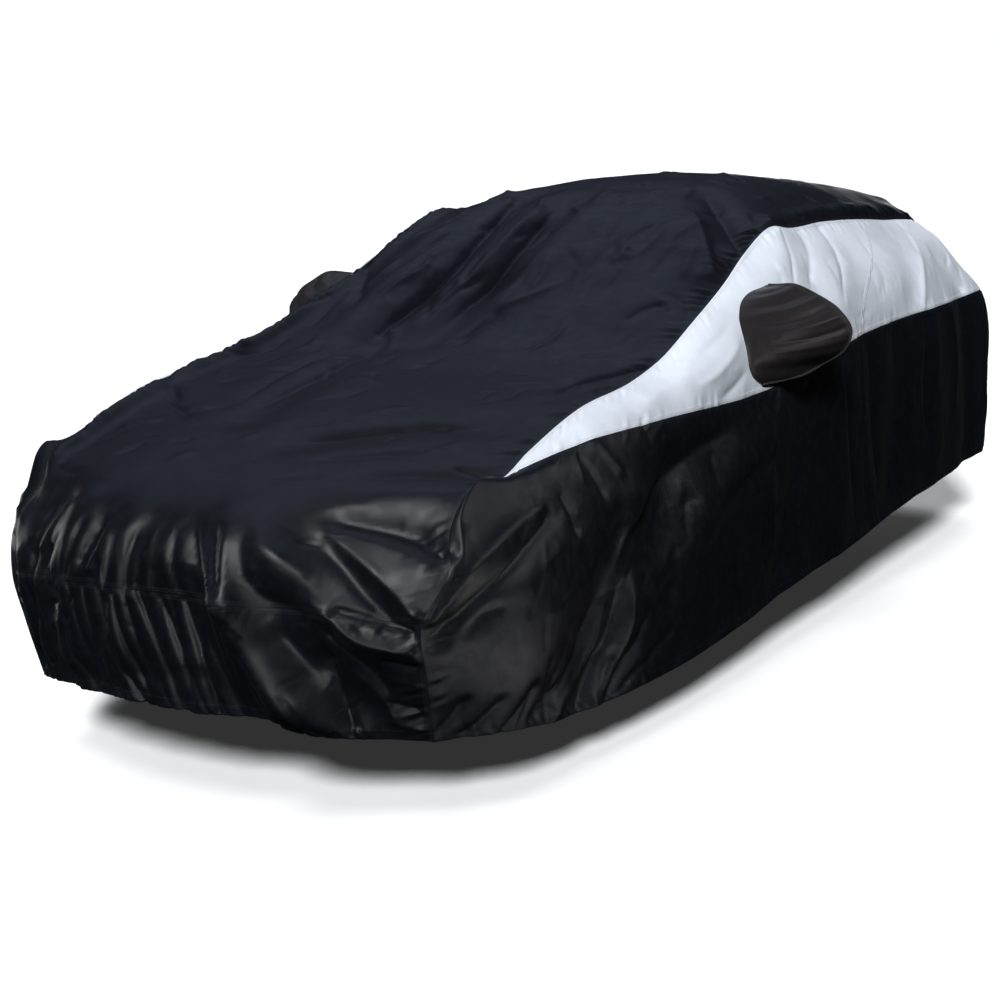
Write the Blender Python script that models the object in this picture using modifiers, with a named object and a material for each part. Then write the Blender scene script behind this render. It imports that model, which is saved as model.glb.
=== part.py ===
"""Fitted cloth car cover, standing in its own draped shape.

The cover is sewn from long, side, gusset, front and rear panels with a piped
pouch on each side. Every panel is an open loft between its seams, thickened
to the cloth's gauge, and carries the main folds of the drape as relief.
Sizes are in metres. The tables measure Y from the nose and Z from the ground;
REFERENCE moves them so that the origin lies under the top of the roof.
"""
import bmesh
import bpy
import numpy as np
from mathutils import Vector
from mathutils.bvhtree import BVHTree

# ---- driving dimensions -------------------------------------------------
CLOTH = 0.0022                                # gauge of the coated cloth
SEAM_GAP = 0.0007                             # clear space between sewn edges
REFERENCE = np.array([0.0, 2.90, 1.4768])     # underside of the roof's top
HALF_CELLS = 8                                # cells from centreline to edge seam
GUSSET_CELLS = 5                              # cells down the gusset
SEAM_FADE = 0.09                              # folds die out this near the edge seam
NOSE_PULL = 0.125                             # slack pulled in at the right nose corner
NOSE_PULL_END = 1.30                          # the pull dies out this far back
RIGHT_FOLD_SHIFT = 0.14                       # right side's folds sit this much forward
FALLOFF_ROWS = 8                              # rows that ease a side into its end seams

PIPING_RADIUS = 0.0035
PIPING_SEAT = 0.0042                          # pouch edges stand off the piping's axis
PIPING_START = 0.009                          # piping begins this far off the gusset
POUCH_TUCK = 0.010                            # pouch edge passes this far inside
POUCH_LIP = 0.008                             # straight lip outside the gusset
POUCH_END_RUNS = ((0.034, 0.0, 0.0), (0.034, 0.075, 0.003))    # rim's start at top and tail
FACE_BULGE = 0.024
BACK_BULGE = 0.034
FACE_CELLS = 5
BACK_CELLS = 4

# Long strip, one row per cross line, nose to tail. Columns:
# centre Y, centre Z, edge X, edge Y, edge Z, crown exponent, cells to next row
LONG_ROWS = [
    (0.010, 0.268, 0.733, 0.200, 0.224, 2.3, 3),    # front hem
    (-0.010, 0.410, 0.751, 0.150, 0.396, 2.3, 2),
    (0.000, 0.565, 0.762, 0.120, 0.540, 2.3, 2),    # front cross seam
    (0.020, 0.655, 0.797, 0.190, 0.655, 2.4, 2),
    (0.085, 0.735, 0.750, 0.275, 0.742, 2.6, 1),
    (0.200, 0.795, 0.745, 0.370, 0.812, 2.8, 1),
    (0.380, 0.845, 0.760, 0.494, 0.823, 3.0, 3),    # gusset tip
    (0.600, 0.892, 0.755, 0.640, 0.868, 3.0, 4),
    (0.900, 0.948, 0.745, 0.930, 0.938, 3.0, 4),
    (1.240, 0.993, 0.738, 1.260, 0.970, 3.0, 3),
    (1.450, 1.035, 0.732, 1.450, 1.008, 3.0, 3),    # windscreen foot
    (1.700, 1.145, 0.720, 1.686, 1.087, 2.6, 4),
    (1.990, 1.280, 0.700, 1.975, 1.187, 2.6, 3),
    (2.170, 1.355, 0.685, 2.155, 1.262, 2.8, 4),
    (2.420, 1.430, 0.670, 2.422, 1.332, 3.2, 2),    # windscreen head
    (2.600, 1.462, 0.665, 2.555, 1.318, 3.4, 4),
    (2.900, 1.478, 0.650, 2.896, 1.318, 3.4, 4),
    (3.200, 1.475, 0.643, 3.215, 1.308, 3.4, 4),    # upright side seam
    (3.580, 1.445, 0.627, 3.580, 1.285, 3.2, 4),
    (3.920, 1.385, 0.610, 3.950, 1.252, 3.0, 3),
    (4.150, 1.290, 0.610, 4.150, 1.180, 2.8, 2),
    (4.340, 1.165, 0.630, 4.320, 1.080, 2.8, 2),
    (4.460, 1.070, 0.660, 4.420, 1.020, 3.0, 2),
    (4.600, 1.020, 0.685, 4.500, 0.985, 3.0, 5),    # tail corner
    (4.660, 0.930, 0.700, 4.535, 0.920, 3.0, 3),    # gusset's tail end
    (4.680, 0.750, 0.730, 4.530, 0.740, 3.0, 4),    # rear cross seam
    (4.670, 0.520, 0.740, 4.500, 0.520, 3.0, 4),
    (4.630, 0.320, 0.735, 4.460, 0.310, 3.0, 0),    # rear hem
]
FRONT_SEAM_ROW = 2
TIP_ROW = 6
UPRIGHT_ROW = 17
TAIL_ROW = 23
GUSSET_END_ROW = 24
REAR_SEAM_ROW = 25

# Side, one row per long-strip row from the tip to the tail corner. Columns:
# belt seam X Y Z, mid side X Y Z, hem X Y Z
SIDE_ROWS = [
    (0.760, 0.494, 0.823, 0.762, 0.120, 0.540, 0.733, 0.200, 0.224),
    (0.787, 0.590, 0.846, 0.868, 0.420, 0.550, 0.840, 0.367, 0.216),
    (0.828, 0.800, 0.874, 0.888, 0.680, 0.555, 0.878, 0.640, 0.180),
    (0.853, 1.050, 0.878, 0.897, 0.950, 0.555, 0.895, 0.950, 0.173),
    (0.866, 1.250, 0.878, 0.901, 1.180, 0.555, 0.900, 1.200, 0.172),
    (0.876, 1.500, 0.872, 0.904, 1.440, 0.555, 0.900, 1.460, 0.178),
    (0.887, 1.760, 0.869, 0.906, 1.710, 0.555, 0.900, 1.730, 0.193),
    (0.890, 1.920, 0.876, 0.908, 1.880, 0.560, 0.900, 1.920, 0.209),
    (0.890, 2.130, 0.897, 0.909, 2.110, 0.570, 0.900, 2.170, 0.225),
    (0.890, 2.280, 0.914, 0.910, 2.270, 0.580, 0.900, 2.370, 0.237),
    (0.890, 2.470, 0.936, 0.910, 2.480, 0.590, 0.900, 2.610, 0.245),
    (0.889, 2.680, 0.955, 0.910, 2.700, 0.600, 0.900, 2.860, 0.268),
    (0.885, 3.050, 0.968, 0.907, 3.070, 0.620, 0.895, 3.200, 0.294),
    (0.873, 3.520, 0.970, 0.895, 3.530, 0.630, 0.882, 3.620, 0.305),
    (0.853, 3.870, 0.971, 0.880, 3.880, 0.630, 0.868, 3.920, 0.308),
    (0.825, 4.130, 0.968, 0.858, 4.120, 0.630, 0.845, 4.140, 0.306),
    (0.775, 4.360, 0.950, 0.820, 4.340, 0.620, 0.800, 4.340, 0.300),
    (0.700, 4.535, 0.920, 0.738, 4.510, 0.600, 0.735, 4.460, 0.310),
]

# Folds, one row each. Columns: face of the cover, start across, start along,
# end across, end along, half width, height (minus is a trough). "top" measures
# X and Y, "front" and "rear" X and Z, "side" Y and Z.
FOLDS = [
    ("front", 0.12, 0.76, 0.22, 0.52, 0.06, -0.018),
    ("front", 0.20, 0.76, 0.29, 0.54, 0.07, 0.022),
    ("front", 0.25, 0.77, 0.38, 0.67, 0.07, 0.016),
    ("front", 0.38, 0.67, 0.60, 0.50, 0.08, 0.020),
    ("front", 0.25, 0.57, 0.42, 0.34, 0.07, 0.030),
    ("front", 0.42, 0.34, 0.54, 0.24, 0.08, 0.024),
    ("front", 0.12, 0.54, 0.32, 0.26, 0.07, -0.022),
    ("front", 0.42, 0.54, 0.58, 0.34, 0.07, -0.018),
    ("front", 0.48, 0.77, 0.66, 0.72, 0.07, -0.028),
    ("front", 0.41, 0.74, 0.67, 0.58, 0.06, -0.018),
    ("front", -0.02, 0.76, 0.01, 0.36, 0.06, -0.018),
    ("front", -0.09, 0.76, -0.08, 0.42, 0.07, 0.015),
    ("front", -0.17, 0.74, -0.19, 0.30, 0.06, -0.020),
    ("front", -0.28, 0.74, -0.30, 0.36, 0.07, 0.018),
    ("front", -0.38, 0.74, -0.36, 0.28, 0.06, -0.020),
    ("front", -0.52, 0.72, -0.55, 0.34, 0.08, 0.018),
    ("side", 0.97, 0.69, 0.90, 0.48, 0.08, 0.022),
    ("side", 0.91, 0.60, 0.68, 0.22, 0.08, -0.030),
    ("side", 0.76, 0.50, 0.52, 0.24, 0.08, -0.020),
    ("side", 1.36, 0.58, 0.98, 0.34, 0.09, 0.020),
    ("side", 1.12, 0.40, 0.78, 0.22, 0.07, -0.016),
    ("side", 1.78, 0.83, 1.20, 0.72, 0.09, -0.018),
    ("side", 1.20, 0.72, 0.76, 0.33, 0.09, -0.014),
    ("side", 1.66, 0.70, 1.22, 0.36, 0.10, 0.018),
    ("side", 2.16, 0.84, 1.95, 0.30, 0.10, -0.016),
    ("side", 2.48, 0.86, 2.42, 0.34, 0.11, 0.016),
    ("side", 3.02, 0.88, 2.96, 0.38, 0.10, -0.016),
    ("side", 3.40, 0.90, 3.44, 0.40, 0.11, 0.016),
    ("side", 3.86, 0.90, 3.94, 0.36, 0.10, -0.018),
    ("side", 4.18, 0.88, 4.22, 0.36, 0.09, 0.014),
    ("side", 2.45, 1.26, 2.20, 1.14, 0.08, -0.010),
    ("side", 2.72, 1.24, 2.50, 1.05, 0.09, 0.013),
    ("side", 3.46, 1.20, 3.26, 1.02, 0.10, -0.013),
    ("side", 3.98, 1.16, 4.06, 1.02, 0.09, 0.013),
    ("side", 1.74, 1.02, 1.40, 0.94, 0.07, 0.010),
    ("top", -0.28, 2.50, -0.26, 1.38, 0.08, -0.020),
    ("top", -0.20, 1.45, -0.15, 0.65, 0.08, -0.012),
    ("top", -0.05, 2.33, -0.03, 1.82, 0.08, -0.016),
    ("top", -0.03, 1.82, -0.08, 1.46, 0.08, -0.020),
    ("top", 0.10, 2.40, 0.06, 1.70, 0.08, 0.012),
    ("top", 0.35, 2.54, 0.63, 2.22, 0.08, -0.018),
    ("top", 0.46, 2.20, 0.63, 1.96, 0.08, 0.014),
    ("top", 0.12, 0.52, 0.58, 0.74, 0.08, -0.010),
    ("top", -0.45, 2.10, -0.42, 1.52, 0.09, 0.014),
    ("top", -0.30, 3.80, -0.26, 3.10, 0.10, -0.010),
    ("top", 0.28, 4.15, 0.22, 3.40, 0.10, -0.012),
    ("top", -0.18, 4.40, -0.22, 3.92, 0.09, 0.014),
    ("rear", -0.36, 0.96, -0.30, 0.46, 0.09, -0.020),
    ("rear", -0.10, 0.96, -0.12, 0.42, 0.08, 0.018),
    ("rear", 0.16, 0.96, 0.12, 0.44, 0.08, -0.018),
    ("rear", 0.44, 0.94, 0.38, 0.42, 0.09, 0.018),
]

# Pouch, one row per rib from its top to its tail. Columns:
# face seam Y Z, rim X Y Z, back seam Y Z
POUCH_ROWS = [
    (2.100, 1.170, 0.000, 2.100, 1.170, 2.100, 1.170),
    (1.985, 1.150, 0.890, 2.078, 1.174, 2.195, 1.138),
    (1.900, 1.112, 0.960, 2.085, 1.144, 2.245, 1.090),
    (1.836, 1.058, 1.035, 2.090, 1.095, 2.262, 1.030),
    (1.804, 1.005, 1.065, 2.108, 1.035, 2.250, 0.980),
    (1.792, 0.965, 1.048, 2.108, 0.982, 2.200, 0.942),
    (1.793, 0.940, 0.985, 2.070, 0.932, 2.080, 0.918),
    (1.802, 0.922, 0.955, 2.010, 0.908, 2.000, 0.911),
    (1.845, 0.893, 0.000, 1.845, 0.893, 1.845, 0.893),
]
POUCH_CELLS = [2, 2, 2, 2, 2, 2, 1, 1]
CUTTER_REACH = (0.60, 1.20)

BLACK = (0.030, 0.032, 0.037)
SILVER = (0.640, 0.680, 0.760)
POUCH_GREY = (0.062, 0.056, 0.054)
PIPING_BLACK = (0.010, 0.010, 0.012)


# ---- curves and sheets --------------------------------------------------
def spline(points, cells):
    """Smooth curve through the points, with the given cells between each pair."""
    points = np.asarray(points, float)
    steps = np.linalg.norm(np.diff(points, axis=0), axis=1)[:, None]
    slopes = np.diff(points, axis=0) / steps
    tangents = np.empty_like(points)
    tangents[0], tangents[-1] = slopes[0], slopes[-1]
    weights = steps[1:] / (steps[1:] + steps[:-1])
    tangents[1:-1] = slopes[:-1] * weights + slopes[1:] * (1 - weights)
    curve = []
    for i, count in enumerate(cells):
        for t in np.arange(count) / count:
            a = 2 * t ** 3 - 3 * t ** 2 + 1
            b = (t ** 3 - 2 * t ** 2 + t) * steps[i]
            c = (t ** 3 - t ** 2) * steps[i]
            curve.append(points[i] * a + points[i + 1] * (1 - a)
                         + tangents[i] * b + tangents[i + 1] * c)
    curve.append(points[-1])
    return np.array(curve)


def smoothstep(value):
    """Ease from 0 to 1."""
    value = np.clip(value, 0, 1)
    return value * value * (3 - 2 * value)


def row_index(row):
    """Grid row at which a row of LONG_ROWS lies."""
    return sum(int(entry[6]) for entry in LONG_ROWS[:row])


def long_strip():
    """Grid of the long strip: rows nose to tail, columns right edge to left edge."""
    table = np.array(LONG_ROWS)
    cells = table[:-1, 6].astype(int)
    centre = spline(np.insert(table[:, :2], 0, 0.0, axis=1), cells)
    edge = spline(table[:, 2:5], cells)
    crown = spline(np.column_stack([table[:, 5], np.arange(len(table))]), cells)[:, :1]
    across = np.linspace(-1, 1, 2 * HALF_CELLS + 1)
    share = np.abs(across)[None, :] ** crown
    grid = np.empty((len(edge), len(across), 3))
    grid[..., 0] = edge[:, :1] * across
    for axis in (1, 2):
        grid[..., axis] = centre[:, axis, None] * (1 - share) + edge[:, axis, None] * share
    return grid


def side_sheet(strip):
    """Grid of the left side: rows nose to tail, columns edge seam to hem."""
    first, last = row_index(TIP_ROW), row_index(TAIL_ROW)
    final = row_index(len(LONG_ROWS) - 1)
    cells = [int(entry[6]) for entry in LONG_ROWS[TIP_ROW:TAIL_ROW]]
    table = np.array(SIDE_ROWS)
    belt, mid, hem = (spline(table[:, k:k + 3], cells) for k in (0, 3, 6))
    upper = first // 2
    lead, edge = strip[first:last + 1, -3], strip[first:last + 1, -1]
    belt[0] = edge[0] + (mid[0] - edge[0]) * 0.001
    grid = np.array([
        spline([lead[k], edge[k], belt[k], mid[k], hem[k]],
               [1, GUSSET_CELLS, upper, first - upper])[1:]
        for k in range(len(edge))])
    front = np.concatenate([np.repeat(strip[first:first + 1, -1], GUSSET_CELLS, axis=0),
                            strip[first::-1, -1]])
    back = strip[last:final + 1, -1]
    blend = np.clip(1 - np.arange(len(grid)) / FALLOFF_ROWS, 0, 1)[:, None, None] ** 2
    return grid + (front - grid[0]) * blend + (back - grid[-1]) * blend[::-1]


def nose_pull(grid):
    """Draw the right nose corner inward."""
    share = np.clip(-grid[..., 0] / LONG_ROWS[TIP_ROW][2], 0, 1)
    grid = grid.copy()
    grid[..., 0] += NOSE_PULL * share * smoothstep(1 - grid[..., 1] / NOSE_PULL_END)
    return grid


def normals(grid, outward):
    """Unit normals of a grid, turned to the outward side."""
    n = np.cross(np.gradient(grid, axis=0), np.gradient(grid, axis=1)) * outward
    return n / np.maximum(np.linalg.norm(n, axis=2, keepdims=True), 1e-9)


def line_distance(points, start, end):
    """Distance from points to a segment, and how far along it they lie."""
    span = end - start
    along = np.clip((points - start) @ span / (span @ span), 0, 1)
    return np.linalg.norm(points - start - along[..., None] * span, axis=-1), along


def fold_heights(grid, facing):
    """Height of the folds at every point of a grid."""
    weights = {"top": facing[..., 2], "front": -facing[..., 1], "rear": facing[..., 1],
               "side": np.abs(facing[..., 0])}
    forward = np.where(grid[..., 0] < 0, RIGHT_FOLD_SHIFT, 0)
    planes = {"top": grid[..., (0, 1)], "front": grid[..., (0, 2)], "rear": grid[..., (0, 2)],
              "side": np.stack([grid[..., 1] + forward, grid[..., 2]], axis=-1)}
    total = np.zeros(grid.shape[:2])
    for face, u0, v0, u1, v1, half_width, height in FOLDS:
        away, _ = line_distance(planes[face], np.array([u0, v0]), np.array([u1, v1]))
        shape = np.exp(-(away / half_width) ** 2)
        total += height * shape * smoothstep(weights[face] * 1.6 - 0.3)
    return total


def folded(grid, outward, seams):
    """Grid displaced by its folds, which die out at the edge seams."""
    facing = normals(grid, outward)
    away = np.full(grid.shape[:2], np.inf)
    for seam in seams:
        for start, end in zip(seam[:-1], seam[1:]):
            away = np.minimum(away, line_distance(grid, start, end)[0])
    heights = fold_heights(grid, facing) * smoothstep(away / SEAM_FADE)
    return grid + facing * heights[..., None]


# ---- meshes and objects -------------------------------------------------
def sheet_mesh(grid, flip):
    """Open quad mesh over a grid; coincident points are merged."""
    mesh = bmesh.new()
    rows, columns = grid.shape[:2]
    points = [[mesh.verts.new(grid[i, j]) for j in range(columns)] for i in range(rows)]
    for i in range(rows - 1):
        for j in range(columns - 1):
            corners = [points[i][j], points[i + 1][j], points[i + 1][j + 1], points[i][j + 1]]
            mesh.faces.new(corners[::-1] if flip else corners)
    bmesh.ops.remove_doubles(mesh, verts=mesh.verts, dist=1e-4)
    mesh.normal_update()
    return mesh


def place_key(point):
    """Rounded position that names a shared seam point."""
    return tuple(int(round(value * 1e4)) for value in point)


def seam_insets(meshes):
    """Inset of every boundary point, wider where the sheets bend at the seam."""
    facing = {}
    for mesh in meshes:
        for vertex in mesh.verts:
            if vertex.is_boundary:
                facing.setdefault(place_key(vertex.co), []).append(vertex.normal.copy())
    insets = {}
    for key, found in facing.items():
        bend = max(a.angle(b) for a in found for b in found)
        insets[key] = (SEAM_GAP + CLOTH * np.tan(min(bend, 2.2) / 2)) / 2
    return insets


def draw_in(mesh, inset_of):
    """Move the boundary points inward, square to the edges that meet there."""
    moves = []
    for vertex in mesh.verts:
        edges = [edge for edge in vertex.link_edges if edge.is_boundary]
        if len(edges) != 2:
            continue
        inward = []
        for edge in edges:
            line = (edge.verts[1].co - edge.verts[0].co).normalized()
            middle = (edge.verts[0].co + edge.verts[1].co) / 2
            toward = edge.link_faces[0].calc_center_median() - middle
            inward.append((toward - line * toward.dot(line)).normalized())
        shared = 1 + max(inward[0].dot(inward[1]), -0.97)
        moves.append((vertex, (inward[0] + inward[1]) * (inset_of(vertex) / shared)))
    for vertex, move in moves:
        vertex.co += move


def cloth_material(name, colour, roughness):
    """Principled cloth material."""
    material = bpy.data.materials.new(name)
    material.use_nodes = True
    shader = material.node_tree.nodes["Principled BSDF"]
    shader.inputs["Base Color"].default_value = (*colour, 1.0)
    shader.inputs["Roughness"].default_value = roughness
    shader.inputs["Metallic"].default_value = 0.0
    return material


def make_object(name, mesh, collection, colour, roughness):
    """Object in the part's frame, with its own material and smooth shading."""
    data = bpy.data.meshes.new(name)
    bmesh.ops.translate(mesh, verts=mesh.verts, vec=Vector(-REFERENCE))
    mesh.to_mesh(data)
    mesh.free()
    data.materials.append(cloth_material(name + "_cloth", colour, roughness))
    data.polygons.foreach_set("use_smooth", [True] * len(data.polygons))
    made = bpy.data.objects.new(name, data)
    collection.objects.link(made)
    return made


def thicken(sheet):
    """Give an open sheet the cloth's gauge, half to each side."""
    solid = sheet.modifiers.new("gauge", "SOLIDIFY")
    solid.thickness = CLOTH
    solid.offset = 0.0


def cut_mouth(sheet, cutter):
    """Open the pouch's mouth in a sheet."""
    cut = sheet.modifiers.new("mouth", "BOOLEAN")
    cut.operation = "DIFFERENCE"
    cut.solver = "EXACT"
    cut.object = cutter


# ---- pouch --------------------------------------------------------------
def pouch_curves(side, grid):
    """Face seam, rim and back seam of a pouch, one point per rib."""
    table = np.array(POUCH_ROWS)
    faces = sheet_mesh(grid, False)
    tree = BVHTree.FromBMesh(faces)
    faces.free()

    def on_gusset(y, z):
        """Point of the gusset at a height and a distance along."""
        return np.array(tree.ray_cast(Vector((side * 2.0, y, z)), Vector((-side, 0, 0)))[0])

    face = np.array([on_gusset(y, z) for y, z in spline(table[:, 0:2], POUCH_CELLS)])
    back = np.array([on_gusset(y, z) for y, z in spline(table[:, 5:7], POUCH_CELLS)])
    rim = table[:, 2:5] * np.array([side, 1, 1])
    for end, run in zip((0, -1), POUCH_END_RUNS):
        rim[end] = face[end] + np.array(run) * np.array([side, 1, 1])
    return face, spline(rim, POUCH_CELLS), back


def pouch_sheet(side, seam, rim, cells, bulge, lean):
    """Grid of one pouch sheet, from inside its mouth out to the rim."""
    out = np.array([side, 0, 0])
    steps = np.linspace(0, 1, cells)[None, :, None]
    lip = seam + out * POUCH_LIP
    ribs = np.sin(np.pi * np.linspace(0, 1, len(seam)))[:, None, None]
    lift = 4 * steps * (1 - steps) * ribs * bulge
    body = lip[:, None] * (1 - steps) + rim[:, None] * steps
    body = body + lift * np.array([side * lean[0], lean[1], lean[2]])
    return np.concatenate([(seam - out * POUCH_TUCK)[:, None], body], axis=1)


def piping_mesh(path, radius, sides=8):
    """Closed round cord along a path."""
    mesh = bmesh.new()
    runs = np.gradient(path, axis=0)
    rings = []
    for point, run in zip(path, runs):
        run = run / np.linalg.norm(run)
        across = np.cross(run, [0.3, 1.0, 0.2])
        across /= np.linalg.norm(across)
        rise = np.cross(run, across)
        turns = np.arange(sides) * 2 * np.pi / sides
        rings.append([mesh.verts.new(point + radius * (across * np.cos(t) + rise * np.sin(t)))
                      for t in turns])
    for low, high in zip(rings[:-1], rings[1:]):
        for k in range(sides):
            n = (k + 1) % sides
            mesh.faces.new([low[k], low[n], high[n], high[k]])
    mesh.faces.new(rings[0][::-1])
    mesh.faces.new(rings[-1])
    bmesh.ops.recalc_face_normals(mesh, faces=mesh.faces)
    return mesh


def mouth_cutter(side, face, back):
    """Prism round the mouth, clear of the pouch's walls."""
    loop = np.concatenate([face, back[-2:0:-1]])[:, 1:]
    before, after = np.roll(loop, 1, axis=0), np.roll(loop, -1, axis=0)
    run = after - before
    outward = np.column_stack([-run[:, 1], run[:, 0]]) / np.linalg.norm(run, axis=1)[:, None]
    if np.sum(outward * (loop - loop.mean(axis=0))) < 0:
        outward = -outward
    loop = loop + outward * (CLOTH / 2 + SEAM_GAP)
    mesh = bmesh.new()
    rings = [[mesh.verts.new((side * reach, y, z)) for y, z in loop] for reach in CUTTER_REACH]
    for k in range(len(loop)):
        n = (k + 1) % len(loop)
        mesh.faces.new([rings[0][k], rings[0][n], rings[1][n], rings[1][k]])
    mesh.faces.new(rings[0][::-1])
    mesh.faces.new(rings[1])
    bmesh.ops.recalc_face_normals(mesh, faces=mesh.faces)
    return mesh


def make_pouch(tag, side, grid, gusset, parts, cutters):
    """Face, back and piping of a pouch, and its mouth in the gusset."""
    face_seam, rim, back_seam = pouch_curves(side, grid)
    face = pouch_sheet(side, face_seam, rim, FACE_CELLS, FACE_BULGE, (0.80, -0.60, 0.0))
    back = pouch_sheet(side, back_seam, rim, BACK_CELLS, BACK_BULGE, (0.35, 0.90, -0.2))
    for name, sheet, flip in (("pouch_face_", face, side > 0), ("pouch_back_", back, side < 0)):
        mesh = sheet_mesh(sheet, flip)
        draw_in(mesh, lambda vertex: PIPING_SEAT)
        thicken(make_object(name + tag, mesh, parts, POUCH_GREY, 0.55))
    start, end = face_seam[0], face_seam[-1]
    out = np.array([side * PIPING_START, 0, 0])
    path = np.concatenate([[start + out, (start + out + rim[0]) / 2], rim,
                           [(end + out + rim[-1]) / 2, end + out]])
    make_object("pouch_piping_" + tag, piping_mesh(path, PIPING_RADIUS), parts,
                PIPING_BLACK, 0.5)
    cutter = make_object("mouth_" + tag, mouth_cutter(side, face_seam, back_seam), cutters,
                         SILVER, 0.4)
    cutter.hide_render = True
    cutter.display_type = "WIRE"
    cut_mouth(gusset, cutter)


# ---- the cover ----------------------------------------------------------
def build():
    """Make every panel, pouch and cutter."""
    for old in list(bpy.data.objects):
        bpy.data.objects.remove(old, do_unlink=True)
    parts = bpy.data.collections.new("car_cover")
    cutters = bpy.data.collections.new("cutters")
    for collection in (parts, cutters):
        bpy.context.scene.collection.children.link(collection)

    plain = long_strip()
    left = side_sheet(plain)
    right = nose_pull(left * np.array([-1, 1, 1]))
    strip = nose_pull(plain)
    seams = (strip[:, 0], strip[:, -1])
    strip = folded(strip, -1, seams)
    left = folded(left, -1, seams)
    right = folded(right, 1, seams)

    front, rear = row_index(FRONT_SEAM_ROW), row_index(REAR_SEAM_ROW)
    upright = row_index(UPRIGHT_ROW) - row_index(TIP_ROW)
    panels = {
        "front_panel": (strip[:front + 1], True, BLACK),
        "top_panel": (strip[front:rear + 1], True, BLACK),
        "rear_panel": (strip[rear:], True, BLACK),
    }
    for tag, sheet, flip in (("left", left, True), ("right", right, False)):
        gusset, side = sheet[:, :GUSSET_CELLS + 1], sheet[:, GUSSET_CELLS:]
        panels["gusset_front_" + tag] = (gusset[:upright + 1], flip, SILVER)
        panels["gusset_rear_" + tag] = (gusset[upright:], flip, SILVER)
        panels["side_front_" + tag] = (side[:upright + 1], flip, BLACK)
        panels["side_rear_" + tag] = (side[upright:], flip, BLACK)

    meshes = {name: sheet_mesh(grid, flip) for name, (grid, flip, _) in panels.items()}
    insets = seam_insets(meshes.values())
    made = {}
    for name, mesh in meshes.items():
        draw_in(mesh, lambda vertex: insets[place_key(vertex.co)])
        colour = panels[name][2]
        made[name] = make_object(name, mesh, parts, colour, 0.42 if colour == BLACK else 0.38)
        thicken(made[name])
    make_pouch("left", 1, left, made["gusset_front_left"], parts, cutters)
    make_pouch("right", -1, right, made["gusset_front_right"], parts, cutters)


build()
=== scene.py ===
"""Looks of the fitted car cover: fine cloth, gathers, seams, pouches and light.

Every panel is a thin sheet on the same lofts and main folds as its solid, with
the photograph's creases laid on. Sizes are in metres. The tables measure
Y from the nose and Z from the ground; REFERENCE moves them to the frame's origin.
"""
import copy

import bmesh
import bpy
import numpy as np
from mathutils import Matrix, Vector, noise
from mathutils.bvhtree import BVHTree


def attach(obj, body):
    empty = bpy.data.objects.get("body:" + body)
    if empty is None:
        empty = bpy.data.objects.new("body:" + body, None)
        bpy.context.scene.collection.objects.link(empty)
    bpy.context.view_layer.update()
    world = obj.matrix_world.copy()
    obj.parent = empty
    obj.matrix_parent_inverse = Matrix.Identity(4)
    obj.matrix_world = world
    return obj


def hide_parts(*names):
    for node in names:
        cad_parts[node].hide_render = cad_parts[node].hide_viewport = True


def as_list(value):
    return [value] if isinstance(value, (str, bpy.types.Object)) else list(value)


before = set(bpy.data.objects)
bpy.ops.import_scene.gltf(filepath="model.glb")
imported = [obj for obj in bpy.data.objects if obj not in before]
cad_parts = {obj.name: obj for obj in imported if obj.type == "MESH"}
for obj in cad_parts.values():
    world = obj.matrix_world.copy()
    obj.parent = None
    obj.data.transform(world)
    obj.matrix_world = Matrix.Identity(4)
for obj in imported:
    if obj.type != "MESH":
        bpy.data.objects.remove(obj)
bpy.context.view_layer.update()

# ---- driving dimensions, as in the part's source but for the nose's pull ----
REFERENCE = np.array([0.0, 2.90, 1.4768])     # underside of the roof's top
HALF_CELLS = 8                                # cells from centreline to edge seam
GUSSET_CELLS = 5                              # cells down the gusset
SEAM_FADE = 0.09                              # main folds die out this near the edge seam
NOSE_PULL = 0.140                             # slack pulled in at the right nose corner
WAIST_PULL = 0.066                            # further pull below the bonnet's edge
WAIST_TOP = 0.86                              # height at which the further pull starts
WAIST_EASE = 0.16
NOSE_PULL_END = 1.30                          # the pull dies out this far back
RIGHT_FOLD_SHIFT = 0.14                       # right side's folds sit this much forward
FALLOFF_ROWS = 8                              # rows that ease a side into its end seams
TIP_SHARE = 0.001                             # belt seam's start, from the tip to mid side
FACE_GAIN = 1.6                               # how fast one face's folds give way to the next's
FACE_START = 0.3

PIPING_RADIUS = 0.0042
PIPING_START = 0.006                          # piping begins this far off the gusset
POUCH_TUCK = 0.010                            # pouch edge passes this far inside
POUCH_LIP = 0.008                             # straight lip outside the gusset
POUCH_END_RUNS = ((0.034, 0.0, 0.0), (0.034, 0.075, 0.003))    # rim's start at top and tail
FACE_BULGE = 0.024
BACK_BULGE = 0.034
FACE_LEAN = (0.80, -0.60, 0.0)                # which way the face bulges: out, back, up
BACK_LEAN = (0.35, 0.90, -0.2)
FACE_CELLS = 5
BACK_CELLS = 4
MOUTH_INSET = 0.012                           # gusset kept this far inside the mouth's seam
RAY_START = 2.0                               # outside the cover, to find the gusset from
ASKEW = (0.3, 1.0, 0.2)                       # no part of the piping runs this way

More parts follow.
